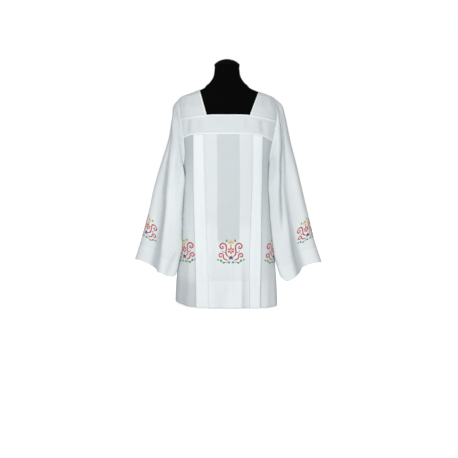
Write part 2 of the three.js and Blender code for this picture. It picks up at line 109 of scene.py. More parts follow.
# Knife pleats of a panel at each height: the folded edges' places, the step from layer to layer, and how
# far the inner pleat is tucked in behind its edge.
PLEATS = table(("z", "innerleft", "innerright", "outerleft", "outerright", "step", "tucked"), [
    (8, 74.5, 94, 128.5, 138, 3.4, 41), (180, 79, 93, 131, 142, 3.0, 42), (400, 86, 100, 138, 145, 2.6, 46),
    (600, 91, 105.5, 142, 150, 2.2, 51.5), (770, 95, 105.5, 142.5, 152, 1.9, 53),
])
OUTER_PLEAT = 48
PLEAT_EASE = 34

# Soft troughs of the body panels: place across, width and depth, and the heights between which they run.
PANEL_TROUGHS = {
    "front": [
        (79, 12, 6, 0, 330), (70.5, 5, 5.5, 0, 300), (-190, 16, 6, 0, 420), (186, 14, 4, 0, 420),
        (-30, 26, 3, 0, 300),
    ],
    "back": [
        (-60, 18, 6, 0, 420), (52, 20, 5, 0, 340), (-182, 18, 7, 0, 460), (178, 18, 7, 0, 460),
    ],
}

# Smaller creases laid over them: a line from one place to another across and up, its width and depth.
PANEL_CREASES = {
    "front": [
        (26, 300, 34, 20, 10, 1.6), (-58, 420, -50, 40, 9, 1.3), (4, 250, -4, 12, 12, 1.6),
        (-108, 560, -104, 60, 7, 1.0), (124, 520, 120, 40, 8, 1.0), (-164, 640, -158, 300, 8, 2.2),
        (168, 650, 160, 330, 8, 2.0), (-176, 300, -170, 12, 9, 2.2), (168, 280, 162, 12, 9, 1.6),
    ],
    "back": [
        (-20, 420, -26, 30, 11, 1.6), (84, 360, 78, 20, 9, 1.4), (-112, 560, -106, 60, 8, 1.1),
        (124, 540, 118, 50, 8, 1.1), (-160, 640, -152, 300, 9, 2.2), (162, 650, 154, 320, 9, 2.0),
        (20, 700, 26, 460, 10, 1.2),
    ],
}

# The yoke's dips where the pleats step back under it, and its faint slanting creases.
BAND_CREASES = {
    "front": [
        (-163, 813, -160, 737, 9, 2.2), (147, 813, 146, 737, 9, 2.2), (178, 806, 172, 742, 9, -1.6),
        (-182, 806, -180, 742, 8, -1.0), (-52, 796, -16, 760, 6, 0.6), (-24, 794, 18, 756, 6, 0.65),
        (10, 790, 42, 760, 6, 0.5), (-118, 800, -112, 748, 8, 0.9), (76, 802, 86, 752, 7, 0.8),
    ],
    "back": [
        (-150, 834, -152, 760, 10, 2.0), (152, 832, 150, 760, 10, 2.1), (-34, 820, 6, 784, 6, 0.8),
        (30, 816, 62, 786, 6, 0.7),
    ],
}

# How far the front band's lower and upper edges sink towards each armhole, by the distance from the middle.
FRONT_DROOP = {
    "left": table(("x", "lower", "upper"), [
        (60, 0, 0), (90, 0.5, 1.8), (125, 1.4, 5.2), (155, 3.8, 8.2), (181, 12, 10.4), (204, 17, 12)]),
    "right": table(("x", "lower", "upper"), [
        (60, 0, 0), (97, 1.2, 2.2), (143, 6.3, 9.4), (170, 15, 13.8), (196, 25.5, 18), (216, 30, 20.5)]),
}

# Creases of the straps: share across and along at both ends, width and depth.
STRAP_CREASES = {
    "left": [(0.3, 0.03, 0.42, 0.34, 0.08, -1.5), (0.7, 0.05, 0.6, 0.42, 0.09, -1.7),
             (0.5, 0.6, 0.45, 0.98, 0.09, -1.5)],
    "right": [(0.35, 0.03, 0.27, 0.36, 0.08, -1.4), (0.78, 0.06, 0.66, 0.4, 0.09, -1.6),
              (0.5, 0.6, 0.58, 0.98, 0.09, -1.5)],
}

# A sleeve from the armhole to the cuff: its outer and inner lines seen from the front, and its half depth.
SLEEVE_COLUMNS = ("along", "outer_x", "outer_z", "inner_x", "inner_z", "depth")
SLEEVES = {
    "left": table(SLEEVE_COLUMNS, [
        (0, 211.5, 896, 192, 588.7, 74), (0.05, 235, 868, 186, 562, 78), (0.1, 243, 835, 188, 540, 82),
        (0.25, 257, 721, 194, 470, 90), (0.4, 287, 615, 195, 400, 97), (0.55, 317, 512, 197, 331, 102),
        (0.7, 341, 404, 201, 261, 105), (0.85, 369, 298, 205, 190, 107), (1, 401, 192, 216, 119, 107),
    ]),
    "right": table(SLEEVE_COLUMNS, [
        (0, 211.5, 896, 189, 588.7, 74), (0.05, 245, 870, 189, 562, 78), (0.1, 254, 836, 190, 540, 82),
        (0.25, 275, 721, 191, 470, 90), (0.4, 301, 613, 193, 400, 97), (0.55, 325, 508, 197, 331, 102),
        (0.7, 350, 400, 204, 259, 105), (0.85, 376, 290, 213, 186, 107), (1, 411, 178, 234, 112, 107),
    ]),
}

# How far the cuff's edge is drawn up at each angle round it, seen as a hanging sleeve's uneven hem.
CUFF_LINE = {
    "left": table(("angle", "lift"), [
        (0, 3), (24, 6), (36, 11), (48, 18), (60, 22), (72, 22), (84, 18), (91, 7), (97, -2), (108, 1),
        (120, 0), (130, 3), (138, 8), (144, 17), (150, 38), (158, 50), (170, 55), (185, 50), (210, 30),
        (240, 12), (280, 5), (330, 6), (360, 3),
    ]),
    "right": table(("angle", "lift"), [
        (0, 3), (12, 4), (24, 8), (36, 13), (48, 20), (60, 26), (72, 29), (84, 28), (91, 26), (98, 3),
        (104, -2), (114, -6), (124, -10), (132, -7), (138, 2), (144, 12), (150, 24), (158, 29), (175, 30),
        (200, 24), (220, 15), (240, 8), (280, 3), (330, 4), (360, 3),
    ]),
}

# How a sleeve's inner front edge laps over the skirt at each share of its length: inward and forward.
LAP_ANGLE, LAP_WIDTH = 146, 17
LAPS = {
    "left": table(("along", "inward", "forward"), [
        (0.02, 0, 0), (0.06, 7, 6), (0.11, 12, 12), (0.18, 8, 18), (0.3, 4, 20), (0.4, -1, 20),
        (0.6, -1, 18), (0.67, 6, 16), (0.73, 6, 16), (0.8, 1, 15), (0.86, -2, 13), (1, -4, 6),
    ]),
    "right": table(("along", "inward", "forward"), [
        (0.02, 0, 0), (0.08, 15, 14), (0.12, 15, 18), (0.19, 12, 22), (0.3, 6, 20), (0.44, 3, 16),
        (0.55, 0, 14), (0.78, 0, 10), (0.86, -3, 8), (1, 0, 4),
    ]),
}

# Flutes of a sleeve: angle at the armhole and at the cuff (0 on the outer line, 90 at the front, 180 under
# the arm, 270 behind), width, and the depth of the trough at the armhole, midway and at the cuff.
FLUTES = {
    "left": [
        (56, 89, 15, 2, 6, 8), (150, 149, 14, -20, -20, -12), (214, 222, 15, 2, 6, 12),
        (262, 256, 16, 2, 9, 18), (312, 298, 14, 2, 11, 18), (342, 334, 11, 1, 6, 10),
    ],
    "right": [
        (84, 96, 14, 2, 4, 7), (150, 150, 14, -22, -22, -13), (208, 214, 15, 2, 6, 12),
        (256, 262, 16, 2, 9, 18), (308, 296, 14, 2, 10, 17), (340, 332, 11, 1, 6, 9),
    ],
}

# The deep valleys down the front of a sleeve: angle, width in degrees and depth at each share of its length.
VALLEY_COLUMNS = ("along", "angle", "width", "depth")
VALLEYS = {
    "left": [table(VALLEY_COLUMNS, [
        (0.04, 14, 16, 0), (0.124, 20, 20, 11), (0.164, 35, 17, 16), (0.244, 42, 13, 18), (0.32, 57, 8, 19),
        (0.388, 66, 7.2, 19), (0.472, 72, 7, 19), (0.556, 79, 6.8, 20), (0.684, 83, 6.8, 20),
        (0.82, 86, 7.5, 20), (0.9, 89, 8.5, 20), (1, 91, 9.5, 17),
    ]), table(VALLEY_COLUMNS, [
        (0.6, 142, 9, 0), (0.73, 137.5, 8, 4), (0.8, 134.5, 7.5, 7), (0.86, 128.5, 7.5, 8),
        (0.916, 124, 8, 8), (1, 121, 8, 6),
    ])],
    "right": [table(VALLEY_COLUMNS, [
        (0.03, 26, 12, 0), (0.064, 35, 12, 8), (0.08, 50, 11, 13), (0.112, 66, 10, 16), (0.148, 78, 9, 18),
        (0.204, 89, 8.5, 19), (0.28, 97, 8, 19), (0.352, 108, 7, 17), (0.452, 113, 6.5, 15),
        (0.524, 115, 6.5, 13), (0.6, 118, 6, 8), (0.67, 119.5, 6, 4), (0.75, 120, 6, 0),
    ]), table(VALLEY_COLUMNS, [
        (0.18, 82, 7, 0), (0.26, 83.5, 7.5, 9), (0.32, 86.5, 7, 11), (0.416, 90, 6.2, 12),
        (0.52, 91.5, 6.2, 13), (0.66, 93, 6.5, 14), (0.8, 95, 7.5, 17), (0.9, 96.5, 8.5, 19),
        (1, 98, 9, 17),
    ]), table(VALLEY_COLUMNS, [
        (0.02, 16, 15, 0), (0.07, 30, 17, 9), (0.112, 45, 16, 14), (0.148, 57, 15, 15), (0.204, 70, 13, 14),
        (0.26, 80, 11, 9), (0.33, 86, 9, 0),
    ])],
}

# Where painted shade darkens a sleeve: angle, share of the length, the width of each, and how much.
SLEEVE_PAINTED_SHADE = {
    "left": [
        (152, 0.6, 25, 0.36, 0.5), (50, 0.98, 40, 0.24, 0.3), (60, 0.1, 50, 0.08, 0.36),
        (118, 0.74, 20, 0.24, 0.16), (20, 0.11, 24, 0.08, 0.75), (36, 0.2, 17, 0.07, 0.8),
    ],
    "right": [
        (142, 0.42, 30, 0.36, 0.34), (40, 0.09, 26, 0.07, 0.45), (128, 0.12, 24, 0.1, 0.5),
        (118, 0.74, 20, 0.24, 0.14),
    ],
}

# Sharper creases of a sleeve: from an angle and a share of the length to another, width and depth.
SLEEVE_CREASES = {
    "left": [
        (24, 0.3, 34, 0.9, 7, 1.8), (104, 0.05, 108, 0.5, 7, 1.2), (22, 0.6, 30, 1.05, 8, 2.2),
        (108, 0.5, 104, 1.05, 8, 1.4), (300, 0.02, 296, 0.5, 7, 4.0), (266, 0.02, 272, 0.5, 7, 3.4),
        (338, 0.4, 330, 1.05, 8, 3.0), (236, 0.3, 240, 1.05, 8, 2.6),
    ],
    "right": [
        (30, 0.2, 40, 0.7, 6, 1.8), (60, 0.3, 66, 1.05, 9, 1.8), (134, 0.3, 140, 0.9, 7, 1.6),
        (300, 0.02, 294, 0.5, 7, 3.8), (264, 0.02, 270, 0.5, 7, 3.2), (338, 0.4, 330, 1.05, 8, 3.0),
        (236, 0.3, 240, 1.05, 8, 2.6),
    ],
}

# The sleeve head's soft valley beside the armhole seam, and the seam's own ridge: share, width and depth.
HEAD_VALLEY = {"left": (0.078, 0.02, 9.0), "right": (0.05, 0.02, 3.0)}
HEAD_RIDGE = (0.016, 0.01, -1.6)

# The dress form at each height: half width, front and back depth, and how square it is.
TORSO = [
    (290, 62, 40, 40, 2.1), (293, 100, 64, 62, 2.1), (304, 130, 84, 82, 2.2), (326, 148, 97, 96, 2.3),
    (370, 155, 103, 102, 2.3), (430, 140, 97, 93, 2.3), (475, 130, 92, 86, 2.3), (530, 138, 97, 88, 2.3),
    (600, 154, 107, 94, 2.4), (680, 167, 112, 98, 2.4), (750, 178, 110, 98, 2.4), (800, 192, 106, 96, 2.3),
    (835, 203, 99, 92, 2.3), (862, 209, 90, 87, 2.2),
]
TORSO_SHOULDER_HEIGHTS = (880, 893, 906, 919, 932, 944)
TORSO_UNDER_YOKE = 2.2
NECK = [
    (955, 91, 67, 68, 2.0), (964, 80, 63, 64, 2.0), (975, 71, 60, 61, 2.0), (990, 62, 57, 58, 2.0),
    (1005, 57.5, 55.5, 56, 2.0), (1038.2, 54.5, 54, 54, 2.0),
]
NECK_CAP = [
    (1038.5, 54.6, 54.1, 54.1), (1039.4, 55.6, 55.1, 55.1), (1041, 56, 55.5, 55.5),
    (1046.4, 56, 55.5, 55.5), (1048.2, 55.3, 54.8, 54.8), (1051, 52.5, 52, 52), (1056, 47, 46.5, 46.5),
    (1061, 39, 38.6, 38.6), (1065.5, 29, 28.7, 28.7), (1069, 17, 16.8, 16.8), (1070.7, 7, 6.9, 6.9),
    (1071, 0.4, 0.4, 0.4),
]

# Stand
BASE_RADIUS = 117
BASE_THICKNESS = 9
HUB_RADIUS = 26
HUB_TOP = 30
POLE_RADIUS = 16
TORSO_BOTTOM = 290

# Photograph's view: the camera's place in metres, and the share of the frame by which it looks lower
CAMERA_PLACE = (0.0088, -2.5, 0.58)
CAMERA_SHIFT = -0.1275
CAMERA_LENS = 44.57
SENSOR_WIDTH = 36


# Smooth values between a table's rows

def value(rows, column, where):
    """A table's column at places along its first column, smooth between the rows and never beyond them."""
    k, c = next(iter(rows.values())), rows[column]
    step = np.diff(c) / np.diff(k)
    same = step[:-1] * step[1:] > 0
    middle = np.where(same, 2 * step[:-1] * step[1:] / np.where(same, step[:-1] + step[1:], 1), 0)
    m = np.concatenate([[0], middle, [0]])
    w = np.clip(np.asarray(where, float), k[0], k[-1])
    i = np.clip(np.searchsorted(k, w, side="right") - 1, 0, len(k) - 2)
    span = k[i + 1] - k[i]
    u = (w - k[i]) / span
    return (c[i] * (1 + 2 * u) * (1 - u) ** 2 + m[i] * span * u * (1 - u) ** 2
            + c[i + 1] * u * u * (3 - 2 * u) + m[i + 1] * span * u * u * (u - 1))


def by_side(x, found):
    """For places across, found("left") on the left of the middle and found("right") on its right."""
    return np.where(np.asarray(x) < 0, found("left"), found("right"))


def ease(u):
    u = np.clip(u, 0, 1)
    return u * u * (3 - 2 * u)


def bell(distance, width):
    return np.exp(-((distance / width) ** 2))


# Adds painted shade to a grey that is already there.
def with_painted_shade(grey_level, amount):
    return grey_level + (1 - grey_level) * amount


def unit(vectors):
    return vectors / (np.linalg.norm(vectors, axis=-1, keepdims=True) + 1e-12)


def run_lengths(points, axis=0):
    """Lengths along a line, or along a grid of points, from 0 at the first point."""
    steps = np.linalg.norm(np.diff(points, axis=axis), axis=-1)
    return np.cumsum(np.insert(steps, 0, 0, axis=axis), axis)


def line_length(points):
    return np.linalg.norm(np.diff(points, axis=0), axis=1).sum()


def on_oval(share, square):
    """An oval's height at a share of its half width. It is an ellipse at square 2 and squarer above that."""
    return (1 - np.minimum(1, share) ** square) ** (1 / square)


def squarish(wave, square):
    return np.sign(wave) * np.abs(wave) ** (2 / square)


CREASE_FADE = 0.25
CREASE_WANDER, CREASE_WAVES = 0.3, 7


def crease(a, b, a0, b0, a1, b1, width, depth):
    """A trough along a line from (a0, b0) to (a1, b1), which wanders a little and fades out at both ends."""
    t = (b - b0) / (b1 - b0)
    fade = ease(t / CREASE_FADE) * ease((1 - t) / CREASE_FADE)
    wander = CREASE_WANDER * width * np.sin(CREASE_WAVES * t + a0)
    return depth * fade * bell(a - (a0 + (a1 - a0) * t) - wander, width)


def seam_relief(distance):
    """The rounded ridge of a stitched seam allowance, at a distance from the edge."""
    return SEAM_RIDGE_HEIGHT * np.sin(math.pi * np.clip(distance / SEAM_RIDGE, 0, 1))


# The garment's outside

HULL_STEPS = 480
DIRECTION_STEPS = 9


def body_section(x, z, face):
    width, square = (by_side(x, lambda side: value(BODY, name + side, z)) for name in ("", "square"))
    return width, value(BODY, face, z), square


def body_y(x, z, face):
    width, depth, square = body_section(x, z, face)
    y = depth * on_oval(np.abs(x) / width, square)
    return -y if face == "front" else y


def body_half_width(y, z, side):
    depth = np.where(y < 0, value(BODY, "front", z), value(BODY, "back", z))
    return value(BODY, side, z) * on_oval(np.abs(y) / depth, value(BODY, "square" + side, z))


class Hull:
    """Half of the outside at one height, from left to right, with the length along it from x = 0."""

    def __init__(self, z, face):
        angle = np.linspace(-math.pi / 2, math.pi / 2, HULL_STEPS + 1)
        width, depth, square = body_section(angle, z, face)
        sign = -1 if face == "front" else 1
        self.x = width * squarish(np.sin(angle), square)
        self.y = sign * depth * squarish(np.cos(angle), square)
        run = run_lengths(np.stack([self.x, self.y], 1))
        self.s = run - run[HULL_STEPS // 2]
        self.even = np.linspace(self.s[0], self.s[-1], HULL_STEPS + 1)
        tx, ty = self.direction(self.x), self.direction(self.y)
        size = np.hypot(tx, ty)
        self.inward_x, self.inward_y = sign * ty / size, -sign * tx / size

    def direction(self, places):
        """How one coordinate changes along the line, evened out over a few steps."""
        change = np.pad(np.gradient(np.interp(self.even, self.s, places)), DIRECTION_STEPS // 2, mode="edge")
        return np.convolve(change, np.ones(DIRECTION_STEPS) / DIRECTION_STEPS, mode="valid")

    def length_at(self, x):
        return np.interp(x, self.x, self.s)

    def at(self, s, depth):
        x = np.interp(s, self.s, self.x) + depth * np.interp(s, self.even, self.inward_x)
        y = np.interp(s, self.s, self.y) + depth * np.interp(s, self.even, self.inward_y)
        return x, y


def panel_edge(hull, z, side):
    sign = SIGN[side]
    if z > ARMPIT_Z:
        return float(hull.length_at(sign * value(ARMHOLE, side, z)))
    return sign * (abs(hull.s[0 if sign < 0 else -1]) - SEAM_GAP / 2)


# Meshes

def grid_normals(points, closed):
    """Unit normals of a grid of points, rows by columns, by the mean direction of both neighbours."""
    if closed:
        into = unit(np.roll(points, -1, 1) - points)
        across = into + np.roll(into, 1, 1)
    else:
        into = unit(np.diff(points, axis=1))
        across = np.concatenate([into[:, :1], into[:, :-1] + into[:, 1:], into[:, -1:]], axis=1)
    return unit(np.cross(across, np.gradient(points, axis=0)))


def outward(points, middle=(0, 0)):
    normals = grid_normals(points, False)
    away = points[..., :2] - np.array(middle)
    return normals if (normals[..., :2] * away).sum() > 0 else -normals


def turned_edge(points, normals, rows, depth):
    """Adds the cloth turned under at row 0, over a number of rows, as a second layer on the inner side."""
    under = (points - normals * depth)[rows::-1]
    fold = points[0] + (unit(points[0] - points[1]) - normals[0]) * depth / 2
    return np.concatenate([under, fold[None], points])


def placed(name, data):
    made = bpy.data.objects.new(name, data)
    bpy.context.scene.collection.objects.link(made)
    return made


def add_mesh(name, vertices, faces, material, uvs=None, see_through_and_shade=None):
    mesh = bpy.data.meshes.new(name)
    mesh.from_pydata((np.asarray(vertices) * MM).tolist(), [], faces)
    mesh.update()
    if uvs is not None:
        layer = mesh.uv_layers.new(name="cloth")
        layer.uv.foreach_set("vector", np.asarray(uvs, np.float32).ravel())
    if see_through_and_shade is not None:
        attribute = mesh.attributes.new("see_through_and_shade", "FLOAT", "POINT")
        attribute.data.foreach_set("value", np.asarray(see_through_and_shade, np.float32))
    mesh.polygons.foreach_set("use_smooth", [True] * len(mesh.polygons))
    mesh.materials.append(material)
    made = placed(name, mesh)
    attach(made, BODY_NAME)
    return made


def shell(name, points, closed, see_through_and_shade):
    """A thin closed wall about a grid of middle points, with its lengths across and along as UVs."""
    offset = grid_normals(points, closed) * CLOTH / 2
    rows, columns = points.shape[:2]
    vertices = np.concatenate([(points + offset).reshape(-1, 3), (points - offset).reshape(-1, 3)])
    wrapped = np.concatenate([points, points[:, :1]], axis=1)
    u, v = run_lengths(wrapped, 1), run_lengths(wrapped)
    u -= u[:, columns // 2:columns // 2 + 1]
    faces, uvs = [], []

    def put(*corners):
        """Faces by the row, column and layer of each of their corners."""
        faces.append(np.stack([(layer * rows + j) * columns + i % columns for j, i, layer in corners], 1))
        uvs.append(np.stack([np.stack([u[j, i], v[j, i]], -1) for j, i, _ in corners], 1))

    def rim(start, end, turned):
        corners = (*start, 0), (*start, 1), (*end, 1), (*end, 0)
        put(*corners[::-1 if turned else 1])

    along, across = np.arange(rows - 1), np.arange(columns if closed else columns - 1)
    j, i = (a.ravel() for a in np.meshgrid(along, across, indexing="ij"))
    put((j, i, 0), (j, i + 1, 0), (j + 1, i + 1, 0), (j + 1, i, 0))
    put((j, i, 1), (j + 1, i, 1), (j + 1, i + 1, 1), (j, i + 1, 1))
    for row in (0, rows - 1):
        rim((row, across), (row, across + 1), row > 0)
    if not closed:
        for column in (0, columns - 1):
            rim((along, column), (along + 1, column), column == 0)
    faces, uvs = np.concatenate(faces), np.concatenate(uvs)
    p = vertices[faces]
    if (p[:, 0] * (np.cross(p[:, 1], p[:, 2]) + np.cross(p[:, 2], p[:, 3]))).sum() < 0:
        faces, uvs = faces[:, ::-1], uvs[:, ::-1]
    return add_mesh(name, vertices, faces.tolist(), WHITE_CLOTH, uvs.reshape(-1, 2) * MM,
                    np.tile(see_through_and_shade.ravel(), 2))


def sewn_shell(name, points, normals, see_through_and_shades, rows, turned, closed=False):
    """A piece of cloth with its first rows turned under, which get no see-through grey and no painted shade.
    """
    see_through_and_shades = np.concatenate([np.zeros((rows + 2, see_through_and_shades.shape[1])), see_through_and_shades])
    return shell(f"cloth_{name}", turned_edge(points, normals, rows, turned), closed, see_through_and_shades)


# Materials

class Finish:
    """A material on the Principled shader, with short ways to add nodes to it."""

    def __init__(self, name, **settings):
        self.material = bpy.data.materials.new(name)
        self.material.use_nodes = True
        self.tree = self.material.node_tree
        self.shader = self.tree.nodes["Principled BSDF"]
        for key, setting in settings.items():
            self.shader.inputs[key.replace("_", " ")].default_value = setting

    def node(self, kind, inputs, output=0, **settings):
        return add_node(self.tree, kind, inputs, output, **settings)

    def maths(self, operation, *given):
        return self.node("ShaderNodeMath", dict(enumerate(given)), operation=operation)

    def mixed(self, factor, a, b, blend="MIX"):
        return self.node("ShaderNodeMix", {0: factor, 6: a, 7: b}, 2, data_type="RGBA", blend_type=blend)

    def noise(self, vector, scale, detail):
        return self.node("ShaderNodeTexNoise", {"Vector": vector, "Scale": scale, "Detail": detail})

    def fibres(self, vector, across, along):
        """Noise drawn out into threads: how many to the metre, across them and along them."""
        stretched = self.node("ShaderNodeMapping", {"Vector": vector, "Scale": (across, along, 1)})
        return self.noise(stretched, 1.0, 2.0)

    def bumped(self, height, strength, distance, **more):
        inputs = {"Height": height, "Strength": strength, "Distance": distance, **more}
        return self.node("ShaderNodeBump", inputs)

    def finished(self, **sockets):
        for key, source in sockets.items():
            self.tree.links.new(source, self.shader.inputs[key.replace("_", " ")])
        return self.material


def add_node(tree, kind, inputs, output=0, **settings):
    made = tree.nodes.new(kind)
    for key, setting in settings.items():
        setattr(made, key, setting)
    for socket, given in inputs.items():
        if isinstance(given, bpy.types.NodeSocket):
            tree.links.new(given, made.inputs[socket])
        else:
            made.inputs[socket].default_value = given
    return made.outputs[output]


THREAD_PITCH = 0.00045
STITCH_PITCH = 0.0005
# The cloth's white, and the grey it goes to where the black form shows through and where shade is painted.
CLOTH_WHITE = (0.862, 0.912, 0.92, 1)
CLOTH_GREY_FOR_FORM_AND_SHADE = (0.525, 0.57, 0.595, 1)


def cloth_material():
    look = Finish("white_cloth", Roughness=0.8, Sheen_Weight=0.08, Sheen_Roughness=0.4,
                  Specular_IOR_Level=0.22)
    uv = look.node("ShaderNodeUVMap", {}, uv_map="cloth")
    u, v = (look.node("ShaderNodeSeparateXYZ", {0: uv}, axis) for axis in (0, 1))
    warp, weft = (look.maths("SINE", look.maths("MULTIPLY", a, math.pi / THREAD_PITCH)) for a in (u, v))
    weave = look.maths("MULTIPLY", warp, weft)
    threads = look.maths("ADD", look.fibres(uv, 1400, 60), look.fibres(uv, 60, 1400))
    # How grey the cloth is painted, for the black form showing through and for painted shade.
    see_through_and_shade = look.node("ShaderNodeAttribute", {}, "Fac", attribute_name="see_through_and_shade")
    base = look.mixed(see_through_and_shade, CLOTH_WHITE, CLOTH_GREY_FOR_FORM_AND_SHADE)
    mottle = look.maths("MULTIPLY_ADD", look.noise(uv, 22.0, 4.0), 0.05, 0.973)
    factor = look.maths("MULTIPLY", mottle, look.maths("MULTIPLY_ADD", threads, 0.05, 0.95))
    tone = look.node("ShaderNodeCombineColor", {0: factor, 1: factor, 2: factor})
    wrinkles = look.bumped(look.noise(uv, 34.0, 3.0), 0.25, 0.0016)
    height = look.maths("MULTIPLY_ADD", weave, 0.35, look.maths("MULTIPLY", threads, 0.8))
    return look.finished(Base_Color=look.mixed(1.0, base, tone, "MULTIPLY"),
                         Normal=look.bumped(height, 0.35, 0.00012, Normal=wrinkles))


def cover_material():
    look = Finish("black_cover", Roughness=0.95, Specular_IOR_Level=0.02)
    place = look.node("ShaderNodeTexCoord", {}, "Object")
    colour = look.mixed(look.noise(place, 9.0, 3.0), (0.0018, 0.0018, 0.002, 1), (0.0034, 0.0034, 0.0038, 1))
    return look.finished(Base_Color=colour, Normal=look.bumped(look.noise(place, 900.0, 2.0), 0.3, 0.0003))


def hard_material(name, dark, light, roughness, metallic, grain, shine):
    look = Finish(name, Metallic=metallic, Specular_IOR_Level=shine)
    grains = look.noise(look.node("ShaderNodeTexCoord", {}, "Object"), grain, 4.0)
    rough = look.node("ShaderNodeMapRange", {0: grains, 3: roughness - 0.06, 4: roughness + 0.08})
    return look.finished(Base_Color=look.mixed(grains, dark, light), Roughness=rough,
                         Normal=look.bumped(grains, 0.12, 0.0002))


def thread_material(name, colour):
    look = Finish(name, Roughness=0.42, Sheen_Weight=0.2, Specular_IOR_Level=0.4)
    uv = look.node("ShaderNodeUVMap", {}, uv_map="cloth")
    along = look.node("ShaderNodeSeparateXYZ", {0: uv})
    ribs = look.maths("SINE", look.maths("MULTIPLY", along, 2 * math.pi / STITCH_PITCH))
    strands = look.fibres(uv, 2500, 120)
    darker_thread = tuple(0.72 * c for c in colour) + (1,)
    lighter_thread = tuple(min(1.0, 1.16 * c + 0.015) for c in colour) + (1,)
    return look.finished(Base_Color=look.mixed(strands, darker_thread, lighter_thread),
                         Normal=look.bumped(look.maths("MULTIPLY_ADD", strands, 1.4, ribs), 0.5, 0.00015))


WHITE_CLOTH = cloth_material()
BLACK_COVER = cover_material()
BLACK_CAP = hard_material("black_cap", (0.002, 0.002, 0.002, 1), (0.004, 0.004, 0.004, 1), roughness=0.6,
                          metallic=0.0, grain=60.0, shine=0.02)
STAND_METAL = hard_material("stand_metal", (0.012, 0.012, 0.013, 1), (0.02, 0.02, 0.022, 1), roughness=0.4,
                            metallic=0.6, grain=90.0, shine=0.15)
THREADS = {name: thread_material(f"{name}_thread", colour) for name, colour in {
    "white": (0.84, 0.87, 0.88), "red": (0.60, 0.03, 0.045), "green": (0.045, 0.30, 0.09),
    "violet": (0.055, 0.02, 0.16), "yellow": (0.86, 0.58, 0.10)}.items()}


# Body panels

FLAT_POINTS, TURN_POINTS, BACK_POINTS, SECOND_POINTS, UNDER_POINTS, SIDE_POINTS = 22, 7, 6, 16, 6, 34
# Further points over the hidden fold and at a fold's foot, and how far a hidden layer stops short of a turn.
EDGE_POINTS, FOOT_POINTS, BACK_CLEAR = np.array([-3, -1, 1, 3]), np.array([-1, 0.8, 2, 3.5, 5]), 6

# How grey a layer is painted: one layer over the black form, which shows through it, one alone, painted with
# the shade of the unlit inside, two over each other, and the side panels at each height, with painted shade
# added there. A hem, a pleat's face and a seam aren't darkened.
SHOW_FORM, SHOW_SINGLE, SHOW_DOUBLE = 0.66, 0.14, 0.3
SHOW_FADE = 28
# Where the grey of the form begins: how far below its lower end, how much higher at a distance from the
# middle, and how far above it the pleats' second layer begins to show, with the height over which it comes.
FORM_END_DROP, FORM_END_RISE, FORM_END_MIDDLE, FORM_END_HALF = 28, 16, 4, 60
DOUBLE_START, DOUBLE_FADE = 30, 60
# Painted shade on the side panels at each height, over the grey of the form behind them higher up.
SIDE_SEE_THROUGH_AND_SHADE = {
    "left": table(("z", "see_through_and_shade"), [(8, 0.8), (95, 0.75), (140, 0.45), (370, 0.45), (560, 0.7), (660, 1)]),
    "right": table(("z", "see_through_and_shade"), [(8, 0.3), (95, 0.35), (140, 0.5), (370, 0.7), (560, 0.8), (660, 0.92)]),
}
# The shade at a fold's foot: its width, its strength beside the inner pleats and how that grows with height.
FOOT_SHADE = 5
FOOT_DARK = {"left": 0.2, "right": 0.08}
FOOT_GROWTH, FOOT_GROWTH_FROM, FOOT_GROWTH_OVER = 0.5, 120, 400
# Painted shade in a panel's troughs and creases: how much for each millimetre of depth, and the most.
CREASE_SHADE, DARKEST_CREASE = 0.07, 0.6


def panel_depth(face, x, z):
    depth = STITCH_GROOVE * bell(z - HEM_LINE, GROOVE_WIDTH) + np.zeros(np.broadcast(x, z).shape)
    for place, width, deep, bottom, top in PANEL_TROUGHS[face]:
        depth = depth + deep * (1 - ease((z - bottom) / (top - bottom))) * bell(x - place, width)
    return depth + sum(crease(x, z, *line) for line in PANEL_CREASES[face])


def pleat_facts(hull, z, side):
    sign, step = SIGN[side], float(value(PLEATS, "step", z))
    inner, outer = (abs(float(hull.length_at(sign * value(PLEATS, edge + side, z))))
                    for edge in ("inner", "outer"))
    return sign, step, inner, outer


def second_depth(s, step, inner, outer):
    return 2 * step * (1 - ease((s - inner) / (outer - inner)))


def third_depth(s, step, inner, outer):
    under = second_depth(s, step, inner, outer) + 2 * step
    return np.where(s < outer, under, 2 * step * (1 - ease((s - outer) / PLEAT_EASE)))


# Kinds of cover along a panel: a value up to 1 above a kind is how far it lies in the shade of a fold.
PLEAT, DOUBLE, SINGLE, SIDE = 0, 2, 4, 6


